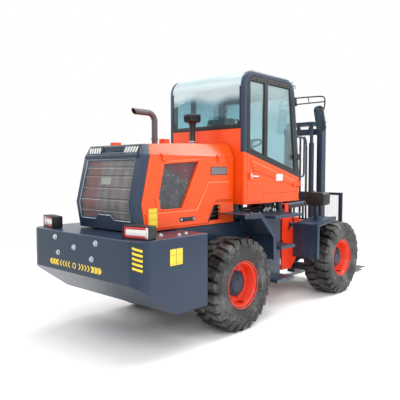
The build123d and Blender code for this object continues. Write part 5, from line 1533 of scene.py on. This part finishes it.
class FORKLIFT_OT_stage(bpy.types.Operator):
    """Sets floor, soft lamps, world and camera"""
    bl_idname = "forklift.stage"
    bl_label = "Stage"

    # Place, diameter in metres and watts of each softbox
    LAMPS = [((-7.5, -6.5, 7.0), 6.0, 430), ((-5.0, 6.5, 6.0), 6.0, 200), ((1.0, -8.0, 4.0), 5.0, 160),
             ((4.6, -2.4, 6.4), 4.5, 380), ((0.0, 0.0, 9.0), 9.0, 420)]
    AIM = Vector((0, 0, 1.2))
    FLOOR_HALF = 60
    # The floor turns to plain white between these distances from the middle
    FADE = (3.6, 7.5)
    FILL = 0.62
    SENSOR_MM = 36
    CAMERA = (-5.8696, -4.3474, 1.8492)
    CAMERA_TURN = (radians(86.6004), 0, radians(-47.4627))

    def floor_paint(self):
        """Matt white studio paper: a faint even tone under the shadow, plain white further off."""
        made, tree, where = blank("pale_studio_floor")
        tone = add(tree, "TexNoise", {"Vector": where, "Scale": patches(2500)})
        mixed = add(tree, "Mix", {
            0: tone.outputs[0], 6: linear("#FBFBFB"), 7: linear("#FFFFFF")}, data_type="RGBA")
        matt = add(tree, "BsdfPrincipled", {
            "Base Color": mixed.outputs[2], "Roughness": 0.9, "Specular IOR Level": 0.1})
        away = add(tree, "VectorMath", {0: where}, operation="LENGTH")
        far = add(tree, "MapRange", {
            "Value": away.outputs["Value"], "From Min": self.FADE[0], "From Max": self.FADE[1]})
        shown = add(tree, "Math", {0: far.outputs[0], 1: seen_ray(tree)}, operation="MULTIPLY")
        white = add(tree, "Emission", {"Color": linear("#FFFFFF"), "Strength": 1.0})
        both = add(tree, "MixShader", {0: shown.outputs[0], 1: matt.outputs[0], 2: white.outputs[0]})
        add(tree, "OutputMaterial", {"Surface": both.outputs[0]})
        return made

    def floor(self, scene):
        """Wide flat floor."""
        bm = bmesh.new()
        bmesh.ops.create_grid(bm, x_segments=1, y_segments=1, size=self.FLOOR_HALF)
        mesh = bpy.data.meshes.new("floor")
        bm.to_mesh(mesh)
        bm.free()
        mesh.materials.append(self.floor_paint())
        made = bpy.data.objects.new("floor", mesh)
        scene.collection.objects.link(made)

    def softboxes(self, scene):
        """Round soft lamps that all face the machine."""
        for place, size, watts in self.LAMPS:
            light = bpy.data.lights.new("softbox", "AREA")
            light.shape = "DISK"
            light.size = size
            light.energy = watts
            lamp = bpy.data.objects.new("softbox", light)
            lamp.location = place
            lamp.rotation_euler = (self.AIM - Vector(place)).to_track_quat("-Z", "Y").to_euler()
            scene.collection.objects.link(lamp)

    def studio(self, scene):
        """World that fills the shadows and shows white where it is seen."""
        world = bpy.data.worlds.new("studio")
        world.use_nodes = True
        tree = world.node_tree
        tree.nodes.clear()
        level = add(tree, "MapRange", {"Value": seen_ray(tree), "To Min": self.FILL, "To Max": 1.0})
        sky = add(tree, "Background", {"Color": linear("#FFFFFF"), "Strength": level.outputs[0]})
        add(tree, "OutputWorld", {"Surface": sky.outputs[0]})
        scene.world = world
        scene.view_settings.view_transform = "Standard"

    def camera(self, scene):
        """Camera behind and to the right of the machine."""
        data = bpy.data.cameras.new("camera")
        data.sensor_width = self.SENSOR_MM
        data.lens = scene.forklift_sizes.focal * 1000
        made = bpy.data.objects.new("camera", data)
        made.location = self.CAMERA
        made.rotation_euler = self.CAMERA_TURN
        scene.collection.objects.link(made)
        scene.camera = made

    def execute(self, context):
        self.floor(context.scene)
        self.softboxes(context.scene)
        self.studio(context.scene)
        self.camera(context.scene)
        return {"FINISHED"}


STEPS = [
    FORKLIFT_OT_stage, FORKLIFT_OT_paint, FORKLIFT_OT_panels, FORKLIFT_OT_fenders, FORKLIFT_OT_tyres,
    FORKLIFT_OT_rims, FORKLIFT_OT_tail, FORKLIFT_OT_grille, FORKLIFT_OT_lids, FORKLIFT_OT_cab,
    FORKLIFT_OT_seat, FORKLIFT_OT_intake, FORKLIFT_OT_mirrors, FORKLIFT_OT_lamps, FORKLIFT_OT_mast,
    FORKLIFT_OT_steps,
]


class FORKLIFT_PT_sidebar(bpy.types.Panel):
    """Lists the forklift's steps, colours and sizes"""
    bl_idname = "FORKLIFT_PT_sidebar"
    bl_label = "Forklift"
    bl_space_type = "VIEW_3D"
    bl_region_type = "UI"
    bl_category = "Forklift"

    def draw(self, context):
        for step in STEPS:
            self.layout.operator(step.bl_idname)
        for group in (context.scene.forklift_colours, context.scene.forklift_sizes):
            for key in group.__annotations__:
                self.layout.prop(group, key)


CLASSES = [ForkliftColours, ForkliftSizes, *STEPS, FORKLIFT_PT_sidebar]


def register():
    for item in CLASSES:
        bpy.utils.register_class(item)
    bpy.types.Scene.forklift_colours = bpy.props.PointerProperty(type=ForkliftColours)
    bpy.types.Scene.forklift_sizes = bpy.props.PointerProperty(type=ForkliftSizes)


def unregister():
    del bpy.types.Scene.forklift_sizes
    del bpy.types.Scene.forklift_colours
    for item in reversed(CLASSES):
        bpy.utils.unregister_class(item)


def main():
    register()
    bpy.ops.forklift.stage()
    bpy.ops.forklift.paint()
    bpy.ops.forklift.panels()
    bpy.ops.forklift.fenders()
    bpy.ops.forklift.tyres()
    bpy.ops.forklift.rims()
    bpy.ops.forklift.tail()
    bpy.ops.forklift.grille()
    bpy.ops.forklift.lids()
    bpy.ops.forklift.cab()
    bpy.ops.forklift.seat()
    bpy.ops.forklift.intake()
    bpy.ops.forklift.mirrors()
    bpy.ops.forklift.lamps()
    bpy.ops.forklift.mast()
    bpy.ops.forklift.steps()


if __name__ == "__main__":
    main()
